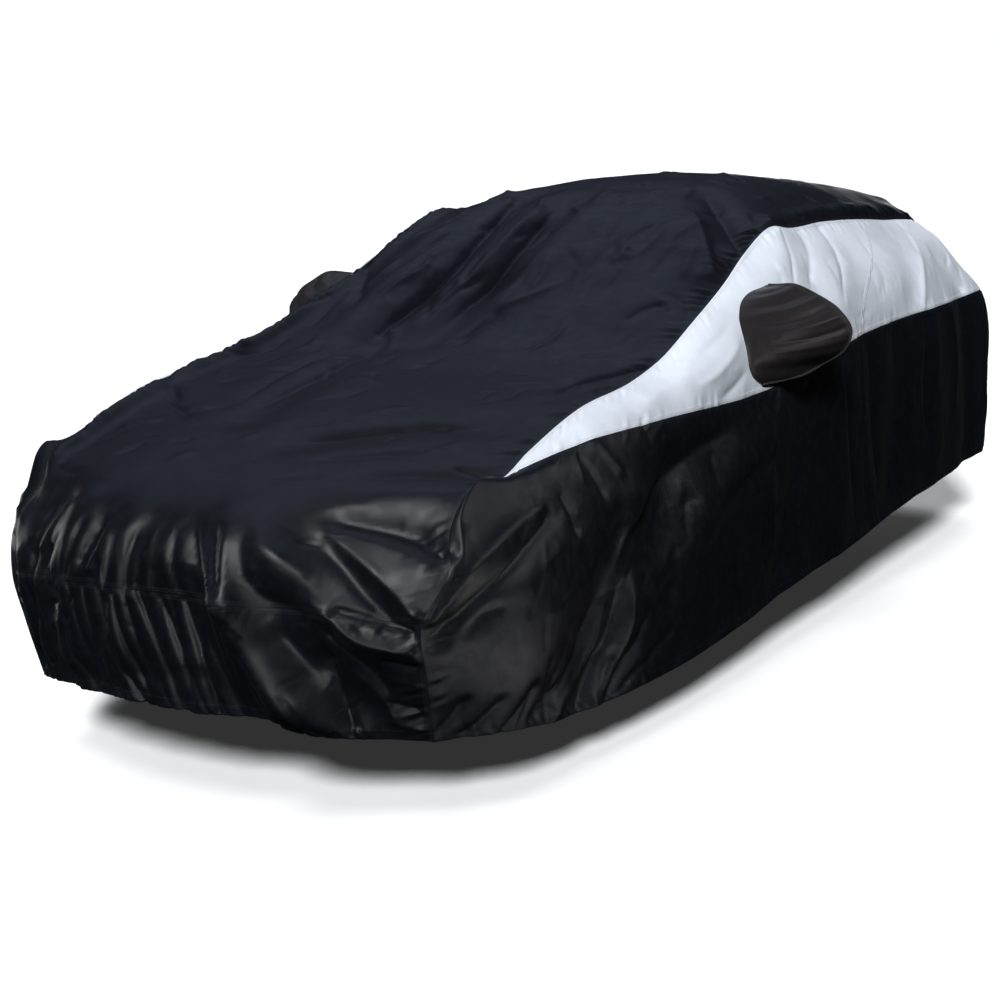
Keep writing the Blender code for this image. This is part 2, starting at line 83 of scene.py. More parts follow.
# ---- fineness of the cloth ----------------------------------------------
ACROSS_FINE = 10                              # fine cells per cell from seam to seam
ALONG_FINE = 8                                # fine cells per cell along the cover
POUCH_FINE = 6
FRONT_FINER = 2                               # the front is this much finer again
SPARE_ROWS = 8                                # rows worked past the front's seam
PATH_CELLS = 5                                # steps per leg of a crease's path
EDGE_FADE = 0.022                             # creases die out this near the edge seam
CREST = 0.25                                  # roundness of a crease's crest, in widths
REACH = 4.5                                   # a crease is felt this many widths away
TAPER = 0.30                                  # share of a crease that tapers at a free end
HEM_ROLL = 0.0028                             # radius of the hem's rolled edge
HEM_DEPTH = 0.024                             # width of the hem's channel
HEM_ROLL_STEPS = 5
HEM_LOOK = 4                                  # rows over which the hem's direction is taken
MERGE = 2e-5                                  # points nearer than this are one
FAR = 1.0                                     # distance where there is no seam or hem
TINY = 1e-12                                  # keeps a division from nought

# Long strip, one row per cross line, nose to tail. Columns:
# centre Y, centre Z, edge X, edge Y, edge Z, crown exponent, cells to next row
LONG_ROWS = [
    (0.010, 0.268, 0.733, 0.200, 0.224, 2.3, 3),    # front hem
    (-0.010, 0.410, 0.751, 0.150, 0.396, 2.3, 2),
    (0.000, 0.565, 0.762, 0.120, 0.540, 2.3, 2),    # front cross seam
    (0.020, 0.655, 0.797, 0.190, 0.655, 2.4, 2),
    (0.085, 0.735, 0.750, 0.275, 0.742, 2.6, 1),
    (0.200, 0.795, 0.745, 0.370, 0.812, 2.8, 1),
    (0.380, 0.845, 0.760, 0.494, 0.823, 3.0, 3),    # gusset tip
    (0.600, 0.892, 0.755, 0.640, 0.868, 3.0, 4),
    (0.900, 0.948, 0.745, 0.930, 0.938, 3.0, 4),
    (1.240, 0.993, 0.738, 1.260, 0.970, 3.0, 3),
    (1.450, 1.035, 0.732, 1.450, 1.008, 3.0, 3),    # windscreen foot
    (1.700, 1.145, 0.720, 1.686, 1.087, 2.6, 4),
    (1.990, 1.280, 0.700, 1.975, 1.187, 2.6, 3),
    (2.170, 1.355, 0.685, 2.155, 1.262, 2.8, 4),
    (2.420, 1.430, 0.670, 2.422, 1.332, 3.2, 2),    # windscreen head
    (2.600, 1.462, 0.665, 2.555, 1.318, 3.4, 4),
    (2.900, 1.478, 0.650, 2.896, 1.318, 3.4, 4),
    (3.200, 1.475, 0.643, 3.215, 1.308, 3.4, 4),    # upright side seam
    (3.580, 1.445, 0.627, 3.580, 1.285, 3.2, 4),
    (3.920, 1.385, 0.610, 3.950, 1.252, 3.0, 3),
    (4.150, 1.290, 0.610, 4.150, 1.180, 2.8, 2),
    (4.340, 1.165, 0.630, 4.320, 1.080, 2.8, 2),
    (4.460, 1.070, 0.660, 4.420, 1.020, 3.0, 2),
    (4.600, 1.020, 0.685, 4.500, 0.985, 3.0, 5),    # tail corner
    (4.660, 0.930, 0.700, 4.535, 0.920, 3.0, 3),    # gusset's tail end
    (4.680, 0.750, 0.730, 4.530, 0.740, 3.0, 4),    # rear cross seam
    (4.670, 0.520, 0.740, 4.500, 0.520, 3.0, 4),
    (4.630, 0.320, 0.735, 4.460, 0.310, 3.0, 0),    # rear hem
]
FRONT_SEAM_ROW = 2
TIP_ROW = 6
UPRIGHT_ROW = 17
TAIL_ROW = 23
REAR_SEAM_ROW = 25

# Side, one row per long-strip row from the tip to the tail corner. Columns:
# belt seam X Y Z, mid side X Y Z, hem X Y Z
SIDE_ROWS = [
    (0.760, 0.494, 0.823, 0.762, 0.120, 0.540, 0.733, 0.200, 0.224),
    (0.787, 0.590, 0.846, 0.868, 0.420, 0.550, 0.840, 0.367, 0.216),
    (0.828, 0.800, 0.874, 0.888, 0.680, 0.555, 0.878, 0.640, 0.180),
    (0.853, 1.050, 0.878, 0.897, 0.950, 0.555, 0.895, 0.950, 0.173),
    (0.866, 1.250, 0.878, 0.901, 1.180, 0.555, 0.900, 1.200, 0.172),
    (0.876, 1.500, 0.872, 0.904, 1.440, 0.555, 0.900, 1.460, 0.178),
    (0.887, 1.760, 0.869, 0.906, 1.710, 0.555, 0.900, 1.730, 0.193),
    (0.890, 1.920, 0.876, 0.908, 1.880, 0.560, 0.900, 1.920, 0.209),
    (0.890, 2.130, 0.897, 0.909, 2.110, 0.570, 0.900, 2.170, 0.225),
    (0.890, 2.280, 0.914, 0.910, 2.270, 0.580, 0.900, 2.370, 0.237),
    (0.890, 2.470, 0.936, 0.910, 2.480, 0.590, 0.900, 2.610, 0.245),
    (0.889, 2.680, 0.955, 0.910, 2.700, 0.600, 0.900, 2.860, 0.268),
    (0.885, 3.050, 0.968, 0.907, 3.070, 0.620, 0.895, 3.200, 0.294),
    (0.873, 3.520, 0.970, 0.895, 3.530, 0.630, 0.882, 3.620, 0.305),
    (0.853, 3.870, 0.971, 0.880, 3.880, 0.630, 0.868, 3.920, 0.308),
    (0.825, 4.130, 0.968, 0.858, 4.120, 0.630, 0.845, 4.140, 0.306),
    (0.775, 4.360, 0.950, 0.820, 4.340, 0.620, 0.800, 4.340, 0.300),
    (0.700, 4.535, 0.920, 0.738, 4.510, 0.600, 0.735, 4.460, 0.310),
]

# Main folds by face of the cover, one row each, as in the part's source. Columns:
# start across, start along, end across, end along, half width, height (minus is a
# trough). "top" measures X and Y, "front" and "rear" X and Z, "side" Y and Z.
FOLDS = {"front": [
    (.12, .76, .22, .52, .06, -.018),
    (.20, .76, .29, .54, .07, .022),
    (.25, .77, .38, .67, .07, .016),
    (.38, .67, .60, .50, .08, .020),
    (.25, .57, .42, .34, .07, .030),
    (.42, .34, .54, .24, .08, .024),
    (.12, .54, .32, .26, .07, -.022),
    (.42, .54, .58, .34, .07, -.018),
    (.48, .77, .66, .72, .07, -.028),
    (.41, .74, .67, .58, .06, -.018),
    (-.02, .76, .01, .36, .06, -.018),
    (-.09, .76, -.08, .42, .07, .015),
    (-.17, .74, -.19, .30, .06, -.020),
    (-.28, .74, -.30, .36, .07, .018),
    (-.38, .74, -.36, .28, .06, -.020),
    (-.52, .72, -.55, .34, .08, .018),
], "side": [
    (.97, .69, .90, .48, .08, .022),
    (.91, .60, .68, .22, .08, -.030),
    (.76, .50, .52, .24, .08, -.020),
    (1.36, .58, .98, .34, .09, .020),
    (1.12, .40, .78, .22, .07, -.016),
    (1.78, .83, 1.20, .72, .09, -.018),
    (1.20, .72, .76, .33, .09, -.014),
    (1.66, .70, 1.22, .36, .10, .018),
    (2.16, .84, 1.95, .30, .10, -.016),
    (2.48, .86, 2.42, .34, .11, .016),
    (3.02, .88, 2.96, .38, .10, -.016),
    (3.40, .90, 3.44, .40, .11, .016),
    (3.86, .90, 3.94, .36, .10, -.018),
    (4.18, .88, 4.22, .36, .09, .014),
    (2.45, 1.26, 2.20, 1.14, .08, -.010),
    (2.72, 1.24, 2.50, 1.05, .09, .013),
    (3.46, 1.20, 3.26, 1.02, .10, -.013),
    (3.98, 1.16, 4.06, 1.02, .09, .013),
    (1.74, 1.02, 1.40, .94, .07, .010),
], "top": [
    (-.28, 2.50, -.26, 1.38, .08, -.020),
    (-.20, 1.45, -.15, .65, .08, -.012),
    (-.05, 2.33, -.03, 1.82, .08, -.016),
    (-.03, 1.82, -.08, 1.46, .08, -.020),
    (.10, 2.40, .06, 1.70, .08, .012),
    (.35, 2.54, .63, 2.22, .08, -.018),
    (.46, 2.20, .63, 1.96, .08, .014),
    (.12, .52, .58, .74, .08, -.010),
    (-.45, 2.10, -.42, 1.52, .09, .014),
    (-.30, 3.80, -.26, 3.10, .10, -.010),
    (.28, 4.15, .22, 3.40, .10, -.012),
    (-.18, 4.40, -.22, 3.92, .09, .014),
], "rear": [
    (-.36, .96, -.30, .46, .09, -.020),
    (-.10, .96, -.12, .42, .08, .018),
    (.16, .96, .12, .44, .08, -.018),
    (.44, .94, .38, .42, .09, .018),
]}

# Creases laid on the main folds by face, one row each. Columns: path, half width at
# the path's start and end, height, lean (plus is steeper on the path's right),
# strength kept at the start and at the end; USUAL_ENDS where a row leaves them out.
USUAL_ENDS = (0, 0, 1)
CREASES = {"front": [
    # below the bonnet's lip
    ([(.41, .76), (.51, .75), (.68, .72), (.79, .69)], .022, .022, -.034, .3, 0, 1),
    ([(.44, .73), (.58, .71), (.74, .67)], .024, .024, .0115),
    ([(.40, .75), (.53, .69), (.64, .63), (.75, .55)], .016, .014, .0158, .5, 0, 1),
    ([(.44, .71), (.54, .66), (.64, .58), (.73, .52)], .016, .016, -.0158, .3, 0, 1),
    ([(.11, .74), (.24, .61), (.29, .55)], .016, .020, .0144, .4, 0, 1),
    ([(.24, .76), (.30, .57)], .014, .013, .0144),
    ([(.19, .75), (.27, .62)], .012, .012, -.0101),
    ([(.28, .75), (.36, .60), (.46, .55)], .016, .016, -.0072),
    ([(.26, .77), (.43, .67), (.54, .58)], .026, .022, .013, 0, 0, 0),
    ([(-.24, .74), (-.27, .58)], .012, .010, -.0115),
    ([(-.18, .73), (-.22, .62)], .012, .010, -.013),
    ([(-.13, .74), (-.19, .60)], .013, .012, .013),
    ([(-.05, .73), (-.05, .57)], .011, .010, -.0122),
    ([(.00, .74), (.01, .57)], .012, .011, .0115),
    ([(.06, .74), (.10, .58)], .010, .010, -.0094),
    ([(.11, .74), (.21, .57)], .012, .012, -.0144),
    ([(-.42, .75), (-.44, .58)], .014, .012, -.0115),
    ([(-.36, .75), (-.41, .62)], .014, .012, .0101),
    ([(-.32, .74), (-.36, .60)], .012, .012, -.0101),
    # below the front cross seam
    ([(.27, .57), (.36, .42), (.44, .32), (.52, .27), (.60, .26)], .040, .036, .0289, .2, 1, .3),
    ([(.23, .57), (.31, .41), (.38, .29)], .016, .018, -.0187, .3, 1, 0),
    ([(.38, .53), (.46, .44), (.52, .36)], .034, .030, -.0158, 0, 0, 0),
    ([(.54, .56), (.62, .50), (.74, .47)], .015, .022, .0187, -.3, 1, 1),
    ([(.57, .57), (.66, .545), (.75, .51)], .010, .013, -.0144, 0, 1, 1),
    ([(.52, .49), (.54, .38), (.57, .27)], .014, .014, -.0187, -.3, 0, 1),
    ([(.54, .50), (.63, .42), (.67, .33)], .016, .016, -.013, .3, 1, 0),
    ([(.58, .43), (.64, .35), (.66, .30)], .016, .014, .0115),
    ([(.65, .45), (.74, .43)], .014, .014, -.013, -.3, 0, 1),
    ([(.64, .40), (.74, .38)], .013, .013, .0043),
    ([(.64, .34), (.72, .31)], .012, .012, -.0115, -.3, 0, 1),
    ([(.64, .29), (.72, .26)], .013, .013, .0086),
    ([(-.44, .60), (-.46, .42), (-.50, .27)], .012, .013, -.0115, 0, 1, 1),
    ([(-.23, .55), (-.28, .42), (-.22, .28)], .010, .012, -.0101, 0, 1, 1),
    ([(-.17, .55), (-.14, .44), (-.02, .26)], .009, .012, -.0122, .3, 1, 1),
    ([(-.10, .55), (-.06, .44), (.00, .28)], .009, .012, -.0101, 0, 1, 0),
    ([(-.02, .56), (.04, .42), (.10, .27)], .009, .012, -.0122, .3, 1, 1),
    ([(.05, .55), (.12, .42), (.15, .28)], .009, .012, -.0108, 0, 1, 0),
    ([(.12, .55), (.18, .40), (.21, .27)], .009, .012, -.0122, .3, 1, 1),
    ([(.17, .50), (.24, .36), (.27, .27)], .010, .012, -.0094),
], "side": [
    # left nose corner and the fan at its hem
    ([(.53, .75), (.35, .70), (.24, .65), (.14, .55)], .026, .018, .0144, 0, 1, 1),
    ([(.56, .72), (.38, .64), (.26, .57), (.16, .50)], .018, .014, -.0168, 0, 1, 1),
    ([(.12, .52), (.22, .54)], .010, .012, -.0084, 0, 1, 0),
    ([(.13, .47), (.21, .49)], .010, .012, -.0084, 0, 1, 0),
    ([(.22, .47), (.28, .53), (.36, .55)], .012, .012, -.0084, 0, 0, 0),
    ([(.84, .49), (.65, .29), (.47, .22)], .016, .013, -.0132),
    ([(.86, .47), (.79, .33), (.57, .20)], .016, .013, .0132),
    ([(.91, .53), (.85, .35), (.72, .19)], .022, .018, -.0204),
    ([(.96, .52), (.88, .28), (.77, .18)], .018, .014, .0144),
    ([(1.05, .40), (.90, .24), (.82, .18)], .016, .012, -.0132),
    ([(1.20, .30), (.98, .22), (.86, .18)], .014, .012, -.0096),
    ([(.27, .34), (.20, .24)], .012, .010, -.0096),
    ([(.37, .32), (.27, .23)], .014, .012, -.0096),
    ([(.50, .33), (.36, .22)], .014, .012, -.0096),
    # left side
    ([(1.68, .80), (1.25, .73), (.97, .62), (.90, .50)], .034, .022, -.0168, 0, 0, 0),
    ([(2.07, .69), (1.49, .57), (1.24, .44)], .036, .028, -.012, 0, 0, 0),
    ([(1.30, .76), (.93, .61), (.82, .45)], .022, .018, .012, 0, 0, 0),
    ([(.64, .76), (.68, .64)], .014, .012, -.0096, 0, 1, 0),
    ([(.77, .84), (.84, .71)], .014, .012, -.0108, 0, 1, 0),
    ([(.85, .86), (.93, .76)], .014, .012, .0096, 0, 1, 0),
    ([(1.10, .88), (1.12, .78)], .014, .012, -.0072, 0, 1, 0),
    ([(2.47, .90), (2.50, .62), (2.60, .34)], .024, .020, -.0108, 0, 1, 0),
    ([(2.72, .90), (2.76, .60), (2.88, .32)], .024, .020, -.0108, 0, 1, 0),
    ([(1.95, .86), (1.86, .60), (1.90, .30)], .026, .022, .0096, 0, 1, 0),
    ([(3.34, .94), (3.30, .66), (3.36, .42)], .024, .020, -.0108, 0, 1, 0),
    ([(3.66, .94), (3.70, .70), (3.66, .44)], .024, .020, .0108, 0, 1, 0),
    ([(4.30, .90), (4.26, .64), (4.32, .40)], .022, .018, -.0108, 0, 1, 0),
    # silver gusset
    ([(2.46, 1.33), (2.36, 1.24), (2.24, 1.13)], .016, .014, -.0084, 0, 1, 0),
    ([(2.64, 1.32), (2.52, 1.22), (2.36, 1.12)], .016, .014, -.0084, 0, 1, 0),
    ([(2.84, 1.31), (2.72, 1.20), (2.56, 1.07)], .018, .016, -.0108, 0, 1, 0),
    ([(3.68, 1.26), (3.52, 1.14)], .020, .018, -.0096, 0, 1, 0),
    ([(3.68, 1.18), (3.80, 1.10), (3.94, 1.00)], .026, .020, -.0132),
    ([(3.64, 1.22), (3.50, 1.12), (3.34, .99)], .022, .018, .0108, 0, 1, 1),
    ([(1.86, 1.09), (1.52, 1.01), (1.34, .98)], .022, .016, -.0096, 0, 1, 0),
    ([(1.84, 1.05), (1.60, .96), (1.42, .93)], .018, .014, .0072, 0, 1, 0),
    ([(1.80, .95), (1.66, .90), (1.56, .88)], .016, .012, -.0084, 0, 1, 0),
    ([(1.52, 1.01), (1.28, .95), (1.08, .90)], .030, .022, .0072, 0, 0, 0),
    ([(2.02, 1.20), (1.96, 1.12)], .014, .012, -.0072),
], "top": [
    # windscreen and roof
    ([(-.33, 2.54), (-.26, 1.91), (-.29, 1.52), (-.28, 1.38)], .022, .016, -.027, .4, 0, 0),
    ([(-.25, 1.50), (-.21, 1.06), (-.19, .68)], .016, .020, -.015, 0, 0, 0),
    ([(-.29, 1.50), (-.34, 1.17), (-.26, .72)], .018, .018, -.0105, 0, 0, 0),
    ([(-.09, 2.37), (-.06, 1.88), (-.08, 1.52)], .022, .018, -.0225, .4, 0, 0),
    ([(-.14, 2.36), (-.13, 1.86), (-.15, 1.56)], .028, .022, .0135, 0, 0, 0),
    ([(-.09, 1.88), (-.17, 1.62)], .018, .014, -.0135, 0, 0, 0),
    ([(-.37, 2.12), (-.50, 1.84)], .020, .020, -.0105, 0, 0, 0),
    ([(-.66, 1.99), (-.46, 1.61)], .022, .018, -.015, 0, 1, 0),
    ([(.32, 2.62), (.48, 2.40), (.66, 2.18)], .022, .018, -.0225, .3, 0, 1),
    ([(.37, 2.38), (.52, 2.18), (.66, 1.97)], .026, .020, .015),
    ([(.30, 2.20), (.27, 1.90), (.30, 1.62)], .032, .030, -.009, 0, 0, 0),
    ([(.06, 1.90), (.12, 1.50)], .030, .026, -.0075, 0, 0, 0),
    ([(.59, 1.00), (.62, 1.22), (.72, 1.42)], .018, .014, -.0195),
    ([(.62, .92), (.72, 1.19)], .014, .012, -.0105),
    ([(.24, 3.06), (.22, 2.70), (.16, 2.44)], .030, .024, -.009, 0, 0, 0),
    ([(-.40, 3.30), (-.34, 2.90), (-.36, 2.60)], .030, .024, -.0105, 0, 0, 0),
    ([(.02, 4.26), (.06, 3.96), (.02, 3.60)], .026, .022, -.0135, 0, 0, 0),
    ([(-.40, 4.36), (-.44, 4.06), (-.40, 3.76)], .026, .022, -.0135, 0, 0, 0),
    ([(.44, 4.38), (.50, 4.08), (.46, 3.80)], .026, .022, .012, 0, 0, 0),
    ([(-.46, 3.95), (.0, 3.98), (.46, 3.95)], .220, .220, .030, 0, 1, 1),
    # bonnet
    ([(.06, .50), (.25, .63), (.60, .76)], .020, .016, -.015, 0, 0, 0),
    ([(.22, .40), (.36, .47), (.55, .57)], .016, .014, -.0105, 0, 0, 0),
    ([(.40, .33), (.54, .41), (.75, .48)], .018, .014, -.0135),
    ([(.62, .49), (.73, .49)], .012, .012, -.0105),
    ([(-.71, .97), (-.60, .86), (-.48, .75)], .016, .014, -.0105, 0, 1, 0),
    ([(-.62, .80), (-.44, .70), (-.32, .62)], .016, .014, -.0105, 0, 0, 0),
    ([(-.71, 1.20), (-.62, 1.30), (-.60, 1.46)], .018, .014, -.012, 0, 1, 0),
], "rear": [
    ([(-.50, .94), (-.46, .74), (-.50, .44)], .020, .016, -.010, 0, 0, 0),
    ([(-.22, .96), (-.20, .72), (-.24, .40)], .018, .016, .010, 0, 0, 0),
    ([(.04, .96), (.02, .70), (.06, .42)], .018, .016, -.010, 0, 0, 0),
    ([(.30, .96), (.28, .70), (.22, .42)], .018, .016, .010, 0, 0, 0),
    ([(.56, .94), (.54, .70), (.60, .44)], .018, .016, -.009, 0, 0, 0),
]}

# Pleats that run out of a seam or hem, one row each. Columns: face, count, first
# and last start, first and last end, half width, height, seed.
PLEATS = [
    ("front", 20, (-0.62, 0.55), (0.22, 0.56), (-0.58, 0.32), (0.30, 0.34), .007, .0070, 3),
    ("front", 14, (-0.40, 0.57), (0.16, 0.58), (-0.36, 0.69), (0.10, 0.69), .007, .0040, 4),
    ("front", 22, (-0.62, 0.24), (0.50, 0.25), (-0.64, 0.36), (0.44, 0.38), .007, .0060, 5),
    ("front", 6, (0.46, 0.56), (0.74, 0.54), (0.48, 0.50), (0.72, 0.49), .008, .0060, 6),
    ("rear", 18, (-0.68, 0.74), (0.68, 0.74), (-0.68, 0.64), (0.68, 0.64), .010, .0050, 7),
    ("rear", 18, (-0.68, 0.76), (0.68, 0.76), (-0.68, 0.86), (0.68, 0.86), .010, .0050, 8),
    ("side", 9, (0.40, 0.22), (1.00, 0.18), (0.52, 0.36), (1.08, 0.28), .010, .0085, 9),
]
PLEAT_STRAY = 0.3                             # share of the spacing a start may be off,
PLEAT_SLANT = 0.5                             # and an end
PLEAT_REACH = (0.5, 1.3)                      # least and greatest share of the length,
PLEAT_HEIGHT = (0.4, 1.3)                     # of the height
PLEAT_WIDTH = (0.8, 1.5)                      # and of the half width
PLEAT_FAN = 1.4                               # half width at the end over the start's

# Small crumples scattered over a face. Columns: face, count, low corner, high
# corner, direction and spread in degrees, length, half width, height, seed
CRUMPLES = [
    ("top", 80, (-0.66, 1.45), (0.68, 2.55), 95, 26, 0.28, .0110, .0080, 31),
    ("top", 34, (-0.72, 0.10), (0.74, 0.95), 25, 30, 0.20, .0100, .0055, 32),
    ("top", 40, (-0.74, 0.95), (0.72, 1.50), 70, 50, 0.20, .0100, .0055, 33),
    ("top", 60, (-0.62, 2.55), (0.62, 4.00), 85, 60, 0.24, .0120, .0070, 34),
    ("top", 36, (-0.60, 3.90), (0.60, 4.60), 90, 40, 0.18, .0100, .0034, 35),
    ("front", 40, (-0.70, 0.58), (0.78, 0.78), 80, 35, 0.12, .0090, .0036, 36),
    ("front", 46, (-0.70, 0.26), (0.74, 0.55), 75, 35, 0.13, .0090, .0036, 37),
    ("rear", 60, (-0.68, 0.36), (0.68, 0.98), 85, 35, 0.14, .0095, .0036, 38),
    ("side", 70, (0.20, 0.22), (1.30, 0.84), 60, 30, 0.15, .0095, .0034, 39),
    ("side", 80, (1.30, 0.24), (3.10, 0.86), 75, 30, 0.18, .0100, .0030, 40),
    ("side", 60, (3.10, 0.34), (4.45, 0.90), 85, 30, 0.18, .0100, .0030, 41),
    ("side", 60, (0.90, 0.92), (3.10, 1.28), 45, 35, 0.14, .0090, .0026, 42),
    ("side", 40, (3.10, 0.98), (4.40, 1.26), 60, 45, 0.14, .0090, .0026, 43),
]
CRUMPLE_BEND = 14                             # degrees to either side
CRUMPLE_LENGTH = (0.3, 1.0)                   # least and greatest share of the length,
CRUMPLE_WIDTH = (0.7, 1.6)                    # of the half width
CRUMPLE_HEIGHT = (0.3, 1.2)                   # and of the height
DOWN_UP = (0.6, 0.4)                          # shares of troughs and of ridges

# Gathers beside a seam. Columns: wavelength, height, distance of the fullest
# part from the seam, distance at which they have died out
GATHERS = {
    "roof": (0.038, 0.0095, 0.024, 0.15),
    "gusset_top": (0.050, 0.0036, 0.018, 0.09),
    "belt": (0.060, 0.0022, 0.018, 0.08),
    "upright": (0.050, 0.0022, 0.016, 0.07),
    "cross": (0.034, 0.0018, 0.016, 0.08),
    "corner": (0.040, 0.0032, 0.020, 0.09),
    "hem": (0.036, 0.0038, 0.012, 0.11),
}
GATHER_LEAN = 0.35                            # how far they lean over as they run out
WAVE_PARTS = ((1.0, 1.0), (0.63, 0.6), (1.71, 0.6))    # stretch and strength of each
WAVE_LEVEL = 1.6                              # brings their sum to about one
SWELL_STRETCH = 6.3                           # wavelengths over which they swell and ebb
SWELL_SHARE = 0.45
ROOF_LOW = 0.55                               # share of the roof's gathers kept low down
ROOF_FROM = 1.05                              # height at which they start to grow
ROOF_EASE = 0.20

# Slack of the top rolled over its edge seams: column of the strip's grid, then
# rows of distance along and height
EDGE_ROLLS = [
    (0, [(0.25, 0.0), (0.42, .030), (0.65, .034), (0.95, .018), (1.25, .042),
         (1.60, .030), (2.05, .012), (2.45, .034), (2.90, .022), (3.40, 0.0)]),
    (-1, [(2.50, 0.0), (2.80, .012), (3.30, .020), (3.70, .012), (4.00, 0.0)]),
]
ROLL_OFFSET = 0.050                           # distance of its crest from the seam
ROLL_WIDTH = 0.036
ROLL_SWELL = 0.12
ROLL_WAVE = 0.13
MOUTH_KEEP = 0.12                             # relief kept at a pouch's mouth
MOUTH_REACH = 0.055

# Slack of the cloth at large: wavelength, height, seed
SLACK = [(0.50, 0.0060, 1.7), (0.22, 0.0034, 5.3), (0.095, 0.0014, 9.1)]

# Pouch, one row per rib from its top to its tail. Columns:
# face seam Y Z, rim X Y Z, back seam Y Z
POUCH_ROWS = [
    (2.100, 1.170, 0.000, 2.100, 1.170, 2.100, 1.170),
    (1.985, 1.150, 0.890, 2.078, 1.174, 2.195, 1.138),
    (1.900, 1.112, 0.960, 2.085, 1.144, 2.245, 1.090),
    (1.836, 1.058, 1.035, 2.090, 1.095, 2.262, 1.030),
    (1.804, 1.005, 1.065, 2.108, 1.035, 2.250, 0.980),
    (1.792, 0.965, 1.048, 2.108, 0.982, 2.200, 0.942),
    (1.793, 0.940, 0.985, 2.070, 0.932, 2.080, 0.918),
    (1.802, 0.922, 0.955, 2.010, 0.908, 2.000, 0.911),
    (1.845, 0.893, 0.000, 1.845, 0.893, 1.845, 0.893),
]
POUCH_CELLS = [2, 2, 2, 2, 2, 2, 1, 1]

# Pleats of the pouch's face. Columns: share down the pouch at the seam, share
# down at the rim, half width as a share, height
POUCH_PLEATS = [
    (0.14, 0.10, 0.022, -0.0050),
    (0.20, 0.16, 0.022, 0.0050),
    (0.28, 0.23, 0.020, -0.0065),
    (0.34, 0.30, 0.020, 0.0060),
    (0.41, 0.37, 0.020, -0.0085),
    (0.47, 0.45, 0.018, 0.0065),
    (0.54, 0.54, 0.020, -0.0080),
    (0.61, 0.63, 0.024, 0.0045),
]
PLEAT_BOW = 0.03                              # share by which they bow
POUCH_SLACK = 0.0022
POUCH_SLACK_LENGTH = 1 / 18
MOUTH_RISE = 2.2                              # how fast the pleats grow from the mouth
MOUTH_FADE = 9                                # how fast all relief grows from the mouth,
RIM_FADE = 12                                 # from the rim
END_FADE = 14                                 # and from the pouch's ends

# ---- materials ----------------------------------------------------------
# Cloth by slot. Columns: name, colour, roughness, sheen, specular, colour where worn,
# colour of the stitches, strength of the thick yarns, relief of the seams
CLOTHS = {
    "black_cloth": ("black_coated_cloth", (0.0022, 0.0025, 0.0040), 0.37, 0.004, 0.36,
                    (0.005, 0.006, 0.008), (0.009, 0.010, 0.013), 0.22, 0.18),
    "silver_cloth": ("silver_coated_cloth", (0.520, 0.555, 0.615), 0.40, 0.04, 0.45,
                     (0.480, 0.505, 0.550), (0.400, 0.415, 0.450), 0.14, 0.6),
    "pouch_cloth": ("pouch_cloth", (0.0100, 0.0085, 0.0085), 0.38, 0.01, 0.42,
                    (0.020, 0.017, 0.016), (0.030, 0.028, 0.026), 0.25, 0.4),
}
CORD = ("piping_cord", (0.010, 0.010, 0.012))
WEAVE_PITCH = 0.0016
SLUB_SCALE = (420.0, 26.0, 1.0)                # thick yarns per metre, across and along
STITCH_ROWS = (0.0055, 0.0115)                 # needle rows' distance from the seam
STITCH_PITCH = 0.0045
THREAD_EDGE = (0.0006, 0.0014)                 # half width of a thread, full and faded
RUB_WIDTH = 0.012                              # worn strip beside a seam
DUST_HEIGHT = 0.16                             # dusty strip above the hem

# ---- camera, measured from the nose and the ground ----------------------
CAMERA_PLACE = np.array([3.21, -3.57, 1.72])
CAMERA_YAW = -31.1
CAMERA_PITCH = 11.3
CAMERA_ROLL = -1.3
FOCAL_PIXELS = 1940.0
IMAGE_PIXELS = 1000.0
SENSOR_MM = 36.0
CAMERA_REACH = 400.0

# ---- floor and light ----------------------------------------------------
FLOOR_REACH = 90.0
FLOOR_GREY = (0.90, 0.90, 0.90, 1.0)
FLOOR_PALE = (0.92, 0.92, 0.92, 1.0)
FLOOR_GLOW = 0.030                             # the floor's own light, for a pale backdrop
WHITE = (1.0, 1.0, 1.0, 1.0)
GROUND_DARK = (0.003, 0.003, 0.005, 1.0)       # world below the horizon
SKY_BASE = (0.045, 0.054, 0.085, 1.0)          # overhead and to the sides
HORIZON_RISE = (0.02, 0.80)                    # height at which the sky is full
# Lobes of the sky, one row each: direction, where it starts and is full (as the
# cosine from its middle), colour
SKY_LOBES = [
    ((0.15, -0.90, 0.40), 0.30, 1.00, (0.140, 0.142, 0.155, 1.0)),
    ((-0.37, 0.53, 0.77), 0.84, 1.00, (0.310, 0.360, 0.480, 1.0)),
]
# name, direction it comes from, strength, width in degrees, colour; none in gloss
SUNS = [
    ("camera_side", (0.33, -0.74, 0.52), 5.0, 12, (0.97, 0.985, 1.0)),
    ("overhead", (0.10, -0.60, 1.0), 1.0, 20, (0.95, 0.97, 1.0)),
    ("behind", (-0.40, 0.70, 0.90), 1.4, 34, (0.95, 0.97, 1.0)),
]
